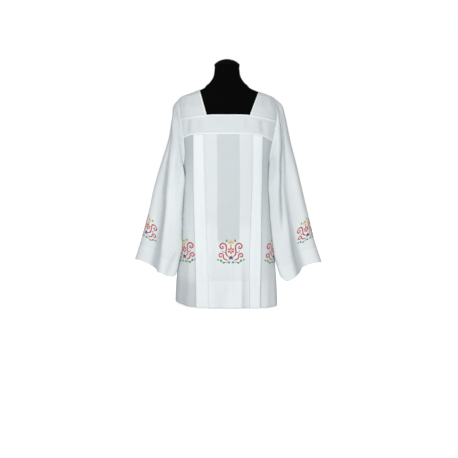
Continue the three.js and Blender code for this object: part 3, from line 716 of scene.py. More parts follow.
def pleated_side(hull, z, side):
    """Lengths along the outside, depths below it, the kind of cover at each place, and whether it shows."""
    sign, *facts = pleat_facts(hull, z, side)
    step, inner, outer = facts
    half = step / 2
    path = []

    def put(places, depths, kind=0, seen=False):
        shape = np.shape(depths)
        path.append(np.stack([np.broadcast_to(a, shape) for a in (places, depths, kind, float(seen))]))

    def turn(place, start, direction):
        a = np.linspace(-math.pi / 2, math.pi / 2, TURN_POINTS)
        put(place - direction * half * (1 - np.cos(a)), start + half * (1 + np.sin(a)))

    hidden = inner - float(value(PLEATS, "tucked", z))
    flat = np.sort(np.concatenate([np.linspace(0, inner - half - 0.6, FLAT_POINTS), hidden + EDGE_POINTS]))
    doubled = ease((flat - hidden + 3) / 6)
    put(flat, np.zeros(len(flat)), SINGLE - (SINGLE - DOUBLE) * doubled, True)
    turn(inner, 0, 1)
    put(np.linspace(inner - BACK_CLEAR, hidden + BACK_CLEAR, BACK_POINTS), np.full(BACK_POINTS, step))
    turn(hidden, step, -1)
    places = np.linspace(hidden + half + 1, outer - half - 1, SECOND_POINTS)
    places = np.sort(np.concatenate([places, inner + FOOT_POINTS]))
    foot = FOOT_DARK[side] + FOOT_GROWTH * ease((z - FOOT_GROWTH_FROM) / FOOT_GROWTH_OVER)
    put(places, second_depth(places, *facts), PLEAT + foot * bell(places - inner, FOOT_SHADE), True)
    turn(outer, float(second_depth(outer, *facts)), 1)
    start = outer - OUTER_PLEAT
    back = np.linspace(outer - BACK_CLEAR, start + BACK_CLEAR, BACK_POINTS)
    put(back, second_depth(back, *facts) + step)
    turn(start, float(second_depth(start, *facts)) + step, -1)
    under = np.linspace(start + half + 1, outer - 0.5, UNDER_POINTS)
    put(under, third_depth(under, *facts))
    places = np.linspace(outer + 0.5, abs(panel_edge(hull, z, side)), SIDE_POINTS)
    put(places, third_depth(places, *facts), SIDE + bell(places - outer, FOOT_SHADE), True)
    s, depth, kind, seen = np.concatenate(path, axis=1)
    seen = (seen > 0) & ((s < inner) | (s > inner + 1)) & ~((depth > half) & (s < inner + 1))
    return sign * s, depth, kind, seen


SIDE_RISE = {"left": 12, "right": -2}
HEM_SAG = 2
SIDE_RISE_TOP = 160


def side_rise(x, z):
    """How the hem's height changes across: drawn up or down at the sides and a little lower in the middle."""
    share = np.abs(x) / by_side(x, lambda side: value(BODY, side, z))
    hem = by_side(x, SIDE_RISE.get) * share ** 4 - HEM_SAG * (1 - share ** 4)
    return hem * (1 - ease((z - HEM_Z) / (SIDE_RISE_TOP - HEM_Z)))


def form_grey_and_shade(kind, x, z):
    """Grey over the black form above its rounded lower end, paler elsewhere, and painted shade at sides and
    folds.
    """
    form_end = TORSO_BOTTOM - FORM_END_DROP + FORM_END_RISE * ((x - FORM_END_MIDDLE) / FORM_END_HALF) ** 2
    single = SHOW_SINGLE + (SHOW_FORM - SHOW_SINGLE) * ease((z - form_end) / SHOW_FADE)
    over = ease((z - TORSO_BOTTOM - DOUBLE_START) / DOUBLE_FADE)
    double = SHOW_SINGLE + (SHOW_DOUBLE - SHOW_SINGLE) * over
    if z < HEM_LINE:
        single = double = 0
    layers = double + (single - double) * np.clip((kind - DOUBLE) / 2, 0, 1)
    grey_level = np.where(kind >= SIDE, by_side(x, lambda side: value(SIDE_SEE_THROUGH_AND_SHADE[side], "see_through_and_shade", z)), layers)
    shaded = (kind >= SIDE) | (kind <= 1)
    return with_painted_shade(np.where(kind <= 1, 0, grey_level), np.where(shaded, kind % SIDE, 0))


HEM_LINE_ROWS = (-6, -3, -1.6, 0, 1.6, 3, 6)
HEM_LINE_CLEAR = 7.5
ABOVE_ARMPIT_Z = 640


def panel_rows(face):
    """Heights of a panel's rows, closer together at the hem's stitching and just above the armpits."""
    low = np.linspace(HEM_Z, ARMPIT_Z, 72)
    low = low[np.abs(low - HEM_LINE) > HEM_LINE_CLEAR]
    above = ARMPIT_Z + (ABOVE_ARMPIT_Z - ARMPIT_Z) * np.linspace(0, 1, 13)[1:] ** 1.6
    high = np.linspace(ABOVE_ARMPIT_Z, BANDS[face][0] + PANEL_TUCK, 14)[1:]
    return np.sort(np.concatenate([low, HEM_LINE + np.array(HEM_LINE_ROWS), above, high]))


def skirt(face):
    heights = panel_rows(face)
    points, see_through_and_shades, seen = [], [], []
    for z in heights:
        hull = Hull(z, face)
        left, right = (pleated_side(hull, z, side) for side in SIDES)
        s, depth, kind, visible = (np.concatenate([a[::-1], b[1:]]) for a, b in zip(left, right))
        x0, _ = hull.at(s, 0)
        pressed = panel_depth(face, x0, z)
        x, y = hull.at(s, depth + pressed)
        points.append(np.stack([x, y, z + side_rise(x0, z)], 1))
        # The grey of what shows through, with painted shade in the troughs and creases.
        see_through_and_shades.append(with_painted_shade(form_grey_and_shade(kind, x0, z), np.clip(CREASE_SHADE * pressed, 0, DARKEST_CREASE)))
        seen.append(visible)
    points = np.array(points)
    normals = outward(points)
    rows = int(np.searchsorted(heights, HEM_LINE))
    made = sewn_shell(f"skirt_{face}", points, normals, np.array(see_through_and_shades), rows, TURNED)
    flat = (line_length(points[0]) * MM, (heights[-1] - HEM_Z + HEM_TURN) * MM)
    stitches = stitched_runs(points[rows], normals[rows], seen[rows])
    return {"made": made, "points": points, "flat": flat, "stitches": stitches}


# Yoke

def droop(face, x, share):
    """How far the front band sinks towards the armholes, from its lower edge (0) to its upper one (1)."""
    if face == "back":
        return np.zeros(np.shape(x))
    low, high = (by_side(x, lambda side: value(FRONT_DROOP[side], edge, np.abs(x)))
                 for edge in ("lower", "upper"))
    return low + (high - low) * share


EDGE_ROWS = np.array([0, 0.8, 1.8, 3, 4.2, 5.2, 6, 7.4])
STITCH_ROW = len(EDGE_ROWS) - 2
YOKE_TURNED, YOKE_TURNED_ROWS = 0.6 * TURNED, 4
SHOW_BAND, SHOW_STRAP = 0.4, 0.42
# Painted shade in the yoke's dips: how much for each millimetre and the darkest; and the deepest a dip goes.
BAND_SHADE, DARKEST_DIP, DEEPEST_DIP = 0.22, 0.5, 1.4
DROOP_SPREAD = 200


def yoke_shade(amount, near):
    """A yoke's grey, which begins inside the white line of its seam allowances."""
    return amount * ease((near - 5) / 2)


def band(face):
    bottom, top = BANDS[face]
    top -= SEAM_GAP / 2
    low_edge, high_edge = bottom + EDGE_ROWS, (top - EDGE_ROWS)[::-1]
    heights = np.concatenate([low_edge, np.linspace(low_edge[-1], high_edge[0], 22)[1:-1], high_edge])
    points, depths = [], []
    for z in heights:
        hull = Hull(z, face)
        x, _ = hull.at(np.linspace(*(panel_edge(hull, z, side) for side in SIDES), BAND_COLUMNS), 0)
        low = z - droop(face, x, (z - bottom) / (top - bottom))
        grown = by_side(x, lambda side: value(ARMHOLE, side, low) / value(ARMHOLE, side, z))
        x = x * (1 + (grown - 1) * ease(np.abs(x) / DROOP_SPREAD))
        points.append(np.stack([x, body_y(x, low, face), low], 1))
        lift = BAND_LIFT + seam_relief(z - bottom) + seam_relief(top - z)
        depths.append(sum(crease(x, z, *line) for line in BAND_CREASES[face]) - lift)
    points, depths = np.array(points), np.array(depths)
    points = points - outward(points) * np.minimum(depths, DEEPEST_DIP)[..., None]
    normals = outward(points)
    shade = yoke_shade(SHOW_BAND, np.minimum(heights - bottom, top - heights))[:, None]
    # The yoke's see-through grey, with painted shade in its dips.
    see_through_and_shades = with_painted_shade(shade, np.clip(BAND_SHADE * (depths + BAND_LIFT), 0, DARKEST_DIP))
    made = sewn_shell(f"yoke_{face}", points, normals, see_through_and_shades, YOKE_TURNED_ROWS, YOKE_TURNED)
    neck = (points[-1, :, 0] > -NECK_EDGE["left"][0]) & (points[-1, :, 0] < NECK_EDGE["right"][0])
    stitches = stitched_runs(points[STITCH_ROW], normals[STITCH_ROW], neck | True)
    stitches += stitched_runs(points[-STITCH_ROW - 1], normals[-STITCH_ROW - 1], neck)
    return {"made": made, "points": points, "stitches": stitches}


def strap_x(side, share, z, low):
    neck_low, neck_high = NECK_EDGE[side]
    neck = neck_low + (neck_high - neck_low) * np.clip((z - low) / (NECK_TOP_Z - low), 0, 1)
    return neck + (value(ARMHOLE, side, z) - neck) * share


def ridge_height(side, share, low):
    inside, outside = low, ABOVE_RIDGE
    for _ in range(40):
        middle = (inside + outside) / 2
        if strap_x(side, share, middle, low) < value(BODY, side, middle):
            inside = middle
        else:
            outside = middle
    return inside


STRAP_HALF = 40
STRAP_WIDTH = 98
STRAP_LEAST_LIFT = 0.1


def strap_half(side, face, shares):
    sign, low = SIGN[side], BANDS[face][1] + SEAM_GAP / 2
    columns = []
    for share in shares:
        ridge = ridge_height(side, share, low)
        start = low - float(droop(face, sign * strap_x(side, share, low, low), 1))
        z = start + (ridge - start) * (1 - (1 - np.linspace(0, 1, STRAP_HALF)) ** 2)
        x = sign * strap_x(side, share, z, low)
        y = body_y(x, z, face)
        y[-1] = 0
        columns.append(np.stack([x, y, z], 1))
    return np.array(columns)


def strap(side):
    """Rows from the neck's edge to the armhole, columns from the front seam over the shoulder to the back."""
    inside = EDGE_ROWS / STRAP_WIDTH
    shares = np.concatenate([inside, np.linspace(inside[-1], 1, 30)[1:]])
    front, back = (strap_half(side, face, shares) for face in FACES)
    points = np.concatenate([front, back[:, -2::-1]], axis=1)
    middle = (points[..., 0].mean() * 0.6, 0)
    share, along = np.meshgrid(shares, np.linspace(0, 1, points.shape[1]), indexing="ij")
    lift = BAND_LIFT + seam_relief(share * STRAP_WIDTH)
    lift = lift - sum(crease(share, along, *line) for line in STRAP_CREASES[side])
    lifted = points + outward(points, middle) * np.maximum(lift, STRAP_LEAST_LIFT)[..., None]
    lifted[:, [0, -1], 2] = points[:, [0, -1], 2]
    normals = outward(lifted, middle)
    see_through_and_shades = yoke_shade(SHOW_STRAP, share * STRAP_WIDTH)
    made = sewn_shell(f"shoulder_{side}", lifted, normals, see_through_and_shades, YOKE_TURNED_ROWS, YOKE_TURNED)
    stitches = stitched_runs(lifted[STITCH_ROW], normals[STITCH_ROW], np.ones(lifted.shape[1], bool))
    return {"made": made, "points": lifted, "stitches": stitches}


# Sleeves

# Painted shade over a whole sleeve, and more of it near the armhole.
SLEEVE_SHADE, SLEEVE_TOP_SHADE = 0.1, 0.26
SLEEVE_AROUND = 240
CUFF_ROWS = np.array([0, 1.5, 4, 9, 16, 24, 33, 42, 50, 56, 59, 60.6, 62, 63.4, 65, 68, 74, 82])
# Columns lie closer together by this much between these angles, easing in and out.
VALLEY_FINER, VALLEY_FROM, VALLEY_TO, VALLEY_EASE = 1.6, 25, 135, 25
# Rows from the cuff up: coarse as far as this share of the length, then fine up to the armhole.
COARSE_ROWS, FINE_ROWS, FINE_FROM = 46, 34, 0.25


def armhole_point(side, angle):
    z = (SHOULDER_Z + ARMPIT_Z) / 2 + (SHOULDER_Z - ARMPIT_Z) / 2 * np.cos(angle)
    seam, sign, turn = value(ARMHOLE, side, z), SIGN[side], np.sin(angle)
    y = np.where(turn >= 0, *(body_y(sign * seam, z, face) for face in FACES))
    return np.stack([sign * (seam + SLEEVE_START_GAP), np.where(np.abs(turn) < 1e-6, 0, y), z], -1)


def between(degrees, place):
    return (degrees - place + 540) % 360 - 180


def flute_depth(side, degrees, along):
    depth = 0
    for root, cuff, width, at_root, midway, at_cuff in FLUTES[side]:
        away = between(degrees, root + (cuff - root) * along)
        grown = np.where(along < 0.5, at_root + (midway - at_root) * ease(along / 0.5),
                         midway + (at_cuff - midway) * (along - 0.5) / 0.5)
        depth = depth + grown * bell(away, width)
    return depth * ease(along / SLEEVE_HEAD)


def head_window(degrees):
    """Where the sleeve head's valley runs: away from the outer line and from the underarm."""
    front = ease((degrees - 12) / 30) * ease((168 - degrees) / 30)
    return front + ease((degrees - 192) / 30) * ease((348 - degrees) / 30)


def valleys(side, along):
    """Each deep valley's angle, width and depth at a share of the sleeve's length."""
    return [[value(valley, name, along) for name in VALLEY_COLUMNS[1:]] for valley in VALLEYS[side]]


def sleeve_detail(side, degrees, along):
    """Creases pressed into the sleeve, and the relief beside its armhole seam."""
    depth = 0
    for a0, b0, a1, b1, width, deep in SLEEVE_CREASES[side]:
        depth = depth + crease(between(degrees, a0), along, 0, b0, a1 - a0, b1, width, deep)
    for place, width, deep in (HEAD_VALLEY[side], HEAD_RIDGE):
        depth = depth + head_window(degrees) * deep * bell(along - place, width)
    for middle, width, deep in valleys(side, along):
        depth = depth + deep * np.exp(-np.abs(between(degrees, middle)) / width)
    return depth


# A valley's shade: its depth at the full strength, its own width as a share of the valley's, and the
# strength, place and width of a wider part to one side, which fades towards the cuff.
DEEP_VALLEY = 18
NARROW_WIDTH = 1.15
BROAD_STRENGTH, BROAD_PLACE, BROAD_WIDTH = 0.4, -1.6, 2.8


def valley_shade(side, degrees, along):
    """Painted shade in and beside the deep valleys and the head's valley, and at a sleeve's listed places."""
    shade = 0
    fades = 1 - 0.8 * ease((along - 0.6) / 0.25)
    for middle, width, deep in valleys(side, along):
        narrow = bell(between(degrees, middle), NARROW_WIDTH * width)
        broad = bell(between(degrees, middle + BROAD_PLACE * width), BROAD_WIDTH * width)
        broad = BROAD_STRENGTH * fades * broad
        shade = np.maximum(shade, ease(deep / DEEP_VALLEY) * np.maximum(narrow, broad))
    place, width, deep = HEAD_VALLEY[side]
    shade = np.maximum(shade, head_window(degrees) * ease(deep / DEEP_VALLEY) * bell(along - place, width))
    for place, share, wide, long, dark in SLEEVE_PAINTED_SHADE[side]:
        shade = np.maximum(shade, dark * bell(between(degrees, place), wide) * bell(along - share, long))
    return shade


def sleeve_points(side, angle, along):
    sign, degrees = SIGN[side], np.degrees(angle) % 360
    ox, oz, ix, iz, deep = (value(SLEEVES[side], name, along) for name in SLEEVE_COLUMNS[1:])
    half_x, half_z = (ox - ix) / 2, (oz - iz) / 2
    radius = np.hypot(np.hypot(half_x, half_z) * np.cos(angle), deep * np.sin(angle))
    share = 1 - flute_depth(side, degrees, along) / radius
    square = 2 + SLEEVE_SQUARE * ease(along / 0.5)
    share = share * (np.abs(np.cos(angle)) ** square + np.abs(np.sin(angle)) ** square) ** (-1 / square)
    across = share * np.cos(angle)
    lap = bell(between(degrees, LAP_ANGLE), LAP_WIDTH)
    x = sign * ((ox + ix) / 2 + half_x * across - lap * value(LAPS[side], "inward", along))
    y = -deep * np.sin(angle) * share - lap * value(LAPS[side], "forward", along)
    lift = value(CUFF_LINE[side], "lift", degrees) * ease((along - CUFF_LIFT_START) / (1 - CUFF_LIFT_START))
    z = (oz + iz) / 2 + half_z * across + lift
    height, width, wider = ARMPIT_GAP[side]
    clear = body_half_width(y, np.minimum(z, ARMPIT_Z), side) + SLEEVE_CLEAR
    clear = clear + wider * bell(z - height, width) * ease((-y - ARMPIT_GAP_FRONT) / ARMPIT_GAP_EASE)
    x = np.where((z < ARMPIT_Z) & (np.abs(x) < clear), sign * clear, x)
    head = SLEEVE_HEAD * (1 - HEAD_SHORTER * np.maximum(np.cos(angle), 0) ** 3)
    blend = ease(along / head)[..., None]
    return armhole_point(side, angle) * (1 - blend) + np.stack([x, y, z], -1) * blend


def sleeve_normals(side, points, closed):
    normals = grid_normals(points, closed)
    away = points - points.mean(1, keepdims=True) if closed else np.array([SIGN[side], 0, 0.3])
    return normals if (normals * away).sum() > 0 else -normals


def sleeve_angles():
    """Angles around a sleeve, closer together across the front's deep valleys."""
    fine = np.linspace(0, 360, 1441)
    inside = ease((fine - VALLEY_FROM) / VALLEY_EASE) * ease((VALLEY_TO - fine) / VALLEY_EASE)
    run = np.cumsum(1 + VALLEY_FINER * inside)
    run = (run - run[0]) / (run[-1] - run[0])
    return np.radians(np.interp(np.arange(SLEEVE_AROUND) / SLEEVE_AROUND, run, fine))


def sleeve(side):
    angle, even = sleeve_angles()[None, :], np.linspace(1, 0, 121)[:, None]
    run = run_lengths(sleeve_points(side, angle + 0 * even, even + 0 * angle))
    cuff = np.array([np.interp(CUFF_ROWS, run[:, i], even[:, 0]) for i in range(SLEEVE_AROUND)]).T
    coarse, fine = np.linspace(1, FINE_FROM, COARSE_ROWS), np.linspace(FINE_FROM, 0, FINE_ROWS)
    rest = np.concatenate([coarse[1:], fine[1:]])
    along = np.concatenate([cuff, rest[:, None] * cuff[-1:]])
    angles = angle + 0 * along
    degrees = np.degrees(angles)
    groove = np.zeros(along.shape)
    groove[:len(CUFF_ROWS)] = STITCH_GROOVE * bell(CUFF_ROWS - CUFF_TURN, GROOVE_WIDTH)[:, None]
    points = sleeve_points(side, angles, along)
    pressed = sleeve_detail(side, degrees, along) + groove
    points = points - sleeve_normals(side, points, True) * pressed[..., None]
    normals = sleeve_normals(side, points, True)
    rows = int(np.searchsorted(CUFF_ROWS, CUFF_TURN))
    # Painted shade: more near the armhole, none on the turned cuff, and deeper in and beside the valleys.
    see_through_and_shades = SLEEVE_SHADE + (SLEEVE_TOP_SHADE - SLEEVE_SHADE) * ease((0.5 - along) / 0.3)
    see_through_and_shades[:rows + 1] = 0
    see_through_and_shades = with_painted_shade(see_through_and_shades, valley_shade(side, degrees, along))
    made = sewn_shell(f"sleeve_{side}", points, normals, see_through_and_shades, rows, TURNED, True)
    around = np.linalg.norm(points[0] - np.roll(points[0], 1, 0), axis=1).sum()
    flat = (around * MM, (line_length(points[:, 0]) + CUFF_TURN) * MM)
    ring = (np.concatenate([a[rows], a[rows][:1]]) for a in (points, normals))
    return {"made": made, "points": points, "flat": flat,
            "stitches": stitched_runs(*ring, np.ones(SLEEVE_AROUND + 1, bool))}


# Stitching

STITCH_SPACING, STITCH_LENGTH, STITCH_RADIUS = 3.0, 2.3, 0.3
STITCH_LIFT = 0.1
# Along the stitch, its radius there as a share, and how far it sinks into the cloth.
STITCH_RINGS = [(-0.5, 0, 0.25), (-0.36, 0.75, 0), (0, 1, 0), (0.36, 0.75, 0), (0.5, 0, 0.25)]


def stitched_runs(points, normals, seen):
    """Stitches spaced along each stretch of a line that shows: their places, directions and normals."""
    stretches = np.split(np.arange(len(seen)), np.flatnonzero(np.diff(seen.astype(int))) + 1)
    return [stitch_places(points[part], normals[part]) for part in stretches
            if seen[part[0]] and len(part) > 1]


def stitch_places(points, normals):
    run = run_lengths(points)
    count = int(run[-1] / STITCH_SPACING)
    where = (np.arange(count) + 0.5) * run[-1] / max(count, 1)
    place, facing, ahead = (np.stack([np.interp(where + shift, run, a[:, k]) for k in range(3)], 1)
                            for a, shift in ((points, 0), (normals, 0), (points, 0.5)))
    direction = unit(ahead - place)
    return place, direction, unit(facing - direction * (facing * direction).sum(1, keepdims=True))


def stitch_mesh(name, runs):
    """Each stitch is a spindle along the line: a point, three rings of five points, and a point."""
    place, direction, facing = (np.concatenate(a)[:, None] for a in zip(*runs))
    turn = np.linspace(0, 2 * math.pi, 6)[:-1, None]
    out = facing * np.cos(turn) + np.cross(facing, direction) * np.sin(turn)
    vertices = []
    for t, r, sink in STITCH_RINGS:
        centre = place + direction * t * STITCH_LENGTH + facing * (CLOTH / 2 + STITCH_LIFT - sink)
        vertices.append(centre + out * r * STITCH_RADIUS if r else centre)
    vertices = np.concatenate(vertices, axis=1)
    faces = []
    for i in range(5):
        n = (i + 1) % 5
        faces += [(0, 1 + i, 1 + n), (1 + i, 6 + i, 6 + n), (1 + i, 6 + n, 1 + n),
                  (6 + i, 11 + i, 11 + n), (6 + i, 11 + n, 6 + n), (11 + i, 16, 11 + n)]
    faces = np.array(faces)
    first = vertices[0][faces]
    if (first[:, 0] * np.cross(first[:, 1] - first[:, 0], first[:, 2] - first[:, 0])).sum() < 0:
        faces = faces[:, ::-1]
    every = (faces[None] + vertices.shape[1] * np.arange(len(vertices))[:, None, None]).reshape(-1, 3)
    uvs = np.tile(np.array([[0, 0], [0.001, 0], [0.001, 0.001]]), (len(every), 1))
    return add_mesh(name, vertices.reshape(-1, 3), every.tolist(), THREADS["white"], uvs)


# Embroidery: a symmetric ornament of scrolls, a rosette, leaves and small flowers, in millimetres

def spiral(cx, cy, r0, r1, a0, a1, count=26):
    a = np.radians(np.linspace(a0, a1, count))
    r = np.linspace(r0, r1, count)
    return [(cx + p * math.cos(q), cy + p * math.sin(q)) for p, q in zip(r, a)]


# By thread: a scroll is a line and its half width, a leaf a place, direction, length and half width, and a
# knot a place and radius. The first value says whether it is mirrored to the other side.
ORNAMENT = {
    "red": [
        (True, "scroll", spiral(35, 20, 4.5, 16, 150, 540) + [(19.5, 8), (21, -6), (15, -18), (5, -25)], 2.9),
        (True, "scroll", spiral(42, -17, 3.0, 10.5, 120, 540) + [(31, -27), (22, -34), (9, -37)], 2.5),
        (False, "scroll", [(0, 29), (0, 24), (0, 19)], 2.0),
        *[(False, "leaf", 4 * math.cos(math.radians(a)), 4 + 4 * math.sin(math.radians(a)), a, 11, 3.6)
          for a in range(30, 390, 60)],
    ],
    "green": [
        (True, "scroll", [(3, -40), (16, -45), (32, -45), (50, -38)], 1.2),
        (True, "leaf", 14, -44, 200, 12, 3.4), (True, "leaf", 24, -45, -20, 12, 3.4),
        (True, "leaf", 38, -43, 60, 12, 3.4), (True, "leaf", 50, -38, 40, 10, 3.0),
        (True, "leaf", 20, 39, 112, 12, 3.2),
    ],
    "violet": [
        (False, "leaf", 0, -27, 90, 10, 3.0), (True, "leaf", 0, -27, 25, 10, 3.0),
        (True, "leaf", 0, -27, -35, 10, 3.0), (True, "knot", 35, 20, 2.8), (True, "knot", 29, -4, 2.6),
        (True, "knot", 35, 1, 2.0),
    ],
    "yellow": [
        (False, "leaf", 0, 31, 90, 17, 3.8), (True, "leaf", 4, 31, 62, 14, 3.2), (False, "knot", 0, 4, 3.4),
        (False, "knot", 0, -27, 2.0),
    ],
}
RIBBON_ACROSS = np.array([-1, -0.6, 0, 0.6, 1, 0.5, -0.5])
RIBBON_HEIGHT = np.array([0.0, 0.54, 0.75, 0.54, 0.0, -0.175, -0.175])


def smooth_line(points, spacing):
    p = np.array(points, float)
    p = np.concatenate([2 * p[:1] - p[1:2], p, 2 * p[-1:] - p[-2:-1]])
    line = [0.5 * (2 * b + (c - a) * t
                   + (2 * a - 5 * b + 4 * c - d) * t * t + (3 * b - a - 3 * c + d) * t ** 3)
            for a, b, c, d in zip(p, p[1:], p[2:], p[3:]) for t in np.linspace(0, 1, 8, endpoint=False)]
    line = np.array(line + [p[-2]])
    run = run_lengths(line)
    even = np.linspace(0, run[-1], max(6, int(run[-1] / spacing)))
    return np.stack([np.interp(even, run, line[:, k]) for k in (0, 1)], 1)


def ribbon(kind, *facts):
    """A ribbon's middle line and half widths."""
    if kind == "scroll":
        line = smooth_line(facts[0], 2.2)
        t = np.linspace(0, 1, len(line))
        return line, facts[1] * np.minimum(1, np.minimum(0.2 + 6 * t, 0.2 + 6 * (1 - t)))
    if kind == "leaf":
        x, y, angle, length, half = facts
        t = (1 - np.cos(np.linspace(0, math.pi, 10))) / 2
        a = math.radians(angle)
        line = np.stack([x + length * t * math.cos(a), y + length * t * math.sin(a)], 1)
        return line, 0.25 + half * np.sin(math.pi * t) ** 0.8
    x, y, radius = facts
    t = np.cos(np.linspace(math.pi, 0, 8))
    line = np.stack([x + radius * t, np.full(8, float(y))], 1)
    return line, 0.2 + radius * np.sqrt(np.clip(1 - t * t, 0, 1))


def ribbon_solid(line, half, flip):
    """Vertices as places on the cloth and heights above it, faces, and UVs along and across."""
    tangent = unit(np.gradient(line, axis=0))
    out = np.stack([-tangent[:, 1], tangent[:, 0]], 1)
    across = half[:, None] * RIBBON_ACROSS[None]
    flat = (line[:, None] + out[:, None] * across[..., None]) * np.array([-1 if flip else 1, 1])
    high = np.minimum(1, 0.35 + half / 2.4)[:, None] * RIBBON_HEIGHT[None]
    n, m = across.shape
    uv = np.stack([np.repeat(run_lengths(line), m), across.ravel()], 1)
    faces = [(j * m + i, j * m + (i + 1) % m, (j + 1) * m + (i + 1) % m, (j + 1) * m + i)
             for j in range(n - 1) for i in range(m)]
    faces += [tuple(range(m))[::-1], tuple((n - 1) * m + i for i in range(m))]
    if not flip:
        faces = [f[::-1] for f in faces]
    return np.concatenate([flat, high[..., None]], axis=2).reshape(-1, 3), faces, uv


class Patch:
    """A piece of a cloth's outer surface, by the place across and up from the ornament's middle."""

    STEP = 2.0
    SPAN = np.arange(-64, 64.1, STEP)

    def __init__(self, points, normals):
        self.points, self.normals = points, normals

    def at(self, flat):
        a, b = (np.clip((flat[:, k] - self.SPAN[0]) / self.STEP, 0, len(self.SPAN) - 1.001) for k in (0, 1))
        i, j = a.astype(int), b.astype(int)
        u, v = (a - i)[:, None], (b - j)[:, None]

        def blend(grid):
            return ((grid[j, i] * (1 - u) + grid[j, i + 1] * u) * (1 - v)
                    + (grid[j + 1, i] * (1 - u) + grid[j + 1, i + 1] * u) * v)
        return blend(self.points) + blend(self.normals) * (CLOTH / 2 + flat[:, 2:3])


def skirt_patch(side, place, height):
    """Around a place across the front (from the middle, or beyond a pleat's outer fold on one side)."""
    points = []
    for z in height + Patch.SPAN:
        hull = Hull(z, "front")
        if side is None:
            s, depth = float(hull.length_at(place)) + Patch.SPAN, 0 * Patch.SPAN
        else:
            sign, step, inner, outer = pleat_facts(hull, z, side)
            s = sign * (outer + place) + Patch.SPAN
            depth = third_depth(np.maximum(np.abs(s), outer + 0.5), step, inner, outer)
        x0, _ = hull.at(s, 0)
        x, y = hull.at(s, depth + panel_depth("front", x0, z))
        points.append(np.stack([x, y, z + side_rise(x0, z)], 1))
    points = np.array(points)
    return Patch(points, outward(points))


# Where the ornaments' middles are: side, place and height on the skirt, and on each sleeve how far in front
# of its outer line and how high.
SKIRT_ORNAMENTS = [(None, 16.9, 243), ("left", 57, 243), ("right", 75, 238)]
SLEEVE_ORNAMENT = {"left": (100, 350), "right": (109, 342)}
SLEEVE_PATCH_STEPS = 261


def sleeve_patch(side):
    ahead, height = SLEEVE_ORNAMENT[side]
    even = np.linspace(1, 0, 241)
    line = sleeve_points(side, 0 * even, even)
    run = run_lengths(line)
    along = np.interp(np.interp(height, line[:, 2], run) + Patch.SPAN, run, even)
    angle = np.linspace(-2.6, 2.6, SLEEVE_PATCH_STEPS)
    around = run_lengths(sleeve_points(side, *np.meshgrid(angle, along)), 1)
    around -= around[:, SLEEVE_PATCH_STEPS // 2, None]
    angles = np.array([np.interp(ahead - SIGN[side] * Patch.SPAN, row, angle) for row in around])
    alongs = np.repeat(along[:, None], len(Patch.SPAN), 1)
    points = sleeve_points(side, angles, alongs)
    detail = sleeve_detail(side, np.degrees(angles) % 360, alongs)
    points = points - sleeve_normals(side, points, False) * detail[..., None]
    return Patch(points, sleeve_normals(side, points, False))


def embroider(name, patches):
    pieces = []
    for colour, parts in ORNAMENT.items():
        vertices, faces, uvs = [], [], []
        start = 0
        for patch in patches:
            for mirrored, kind, *facts in parts:
                line, half = ribbon(kind, *facts)
                for flip in (False, True)[:1 + mirrored]:
                    flat, ring_faces, uv = ribbon_solid(line, half, flip)
                    vertices.append(patch.at(flat))
                    faces += [tuple(start + k for k in f) for f in ring_faces]
                    uvs += [uv[k] for f in ring_faces for k in f]
                    start += len(flat)
        made = add_mesh(f"embroidery_{colour}_{name}", np.concatenate(vertices), faces, THREADS[colour],
                        np.array(uvs) * MM)
        pieces.append(made)
    return pieces


# Dress form and stand

def ring_form(name, rows, around, material):
    angle = np.linspace(0, 2 * math.pi, around + 1)[:-1]
    c, s = np.cos(angle), np.sin(angle)
    rings = [np.stack([side * squarish(c, square), np.where(s < 0, front, back) * squarish(s, square),
                       np.full(around, z)], 1) for z, side, front, back, square in rows]
    vertices = np.concatenate(rings + [np.array([[0, 0, rows[0][0]], [0, 0, rows[-1][0]]])])
    bottom, top, last = len(vertices) - 2, len(vertices) - 1, (len(rows) - 1) * around
    faces = []
    for i in range(around):
        n = (i + 1) % around
        faces += [(j + i, j + n, j + around + n, j + around + i) for j in range(0, last, around)]
        faces += [(bottom, n, i), (top, last + i, last + n)]
    return add_mesh(name, vertices, faces, material)


def dress_form():
    names = ("z", "side", "front", "back", "square")
    shoulders = []
    for z in TORSO_SHOULDER_HEIGHTS:
        side = min(float(value(BODY, name, z)) for name in SIDES)
        depths = [float(value(BODY, face, z)) - TORSO_UNDER_YOKE for face in FACES]
        shoulders.append((z, side - TORSO_UNDER_YOKE, *depths, float(value(BODY, "squareleft", z))))
    rows = table(names, TORSO + shoulders + NECK)
    heights = np.concatenate([[290, 290.6, 291.6, 293, 296, 300], np.linspace(305, 862, 70),
                              np.linspace(868, 944, 26), np.linspace(948, 1038.2, 24)])
    fine = [[float(z)] + [float(value(rows, name, z)) for name in names[1:]] for z in heights]
    return ring_form("form_cover", fine, 112, BLACK_COVER)


def round_solid(name, profile, around):
    return ring_form(name, [(z, r, r, r, 2.0) for r, z in profile], around, STAND_METAL)


def stand_base():
    return round_solid("stand_base", [
        (BASE_RADIUS - 2, 0), (BASE_RADIUS - 0.6, 0.6), (BASE_RADIUS, 2), (BASE_RADIUS, BASE_THICKNESS - 2),
        (BASE_RADIUS - 0.6, BASE_THICKNESS - 0.6), (BASE_RADIUS - 2, BASE_THICKNESS),
        (HUB_RADIUS + 3, BASE_THICKNESS), (HUB_RADIUS + 0.9, BASE_THICKNESS + 0.9),
        (HUB_RADIUS, BASE_THICKNESS + 3), (HUB_RADIUS, HUB_TOP - 2), (HUB_RADIUS - 0.6, HUB_TOP - 0.6),
        (HUB_RADIUS - 2, HUB_TOP)], 96)


# Building the object

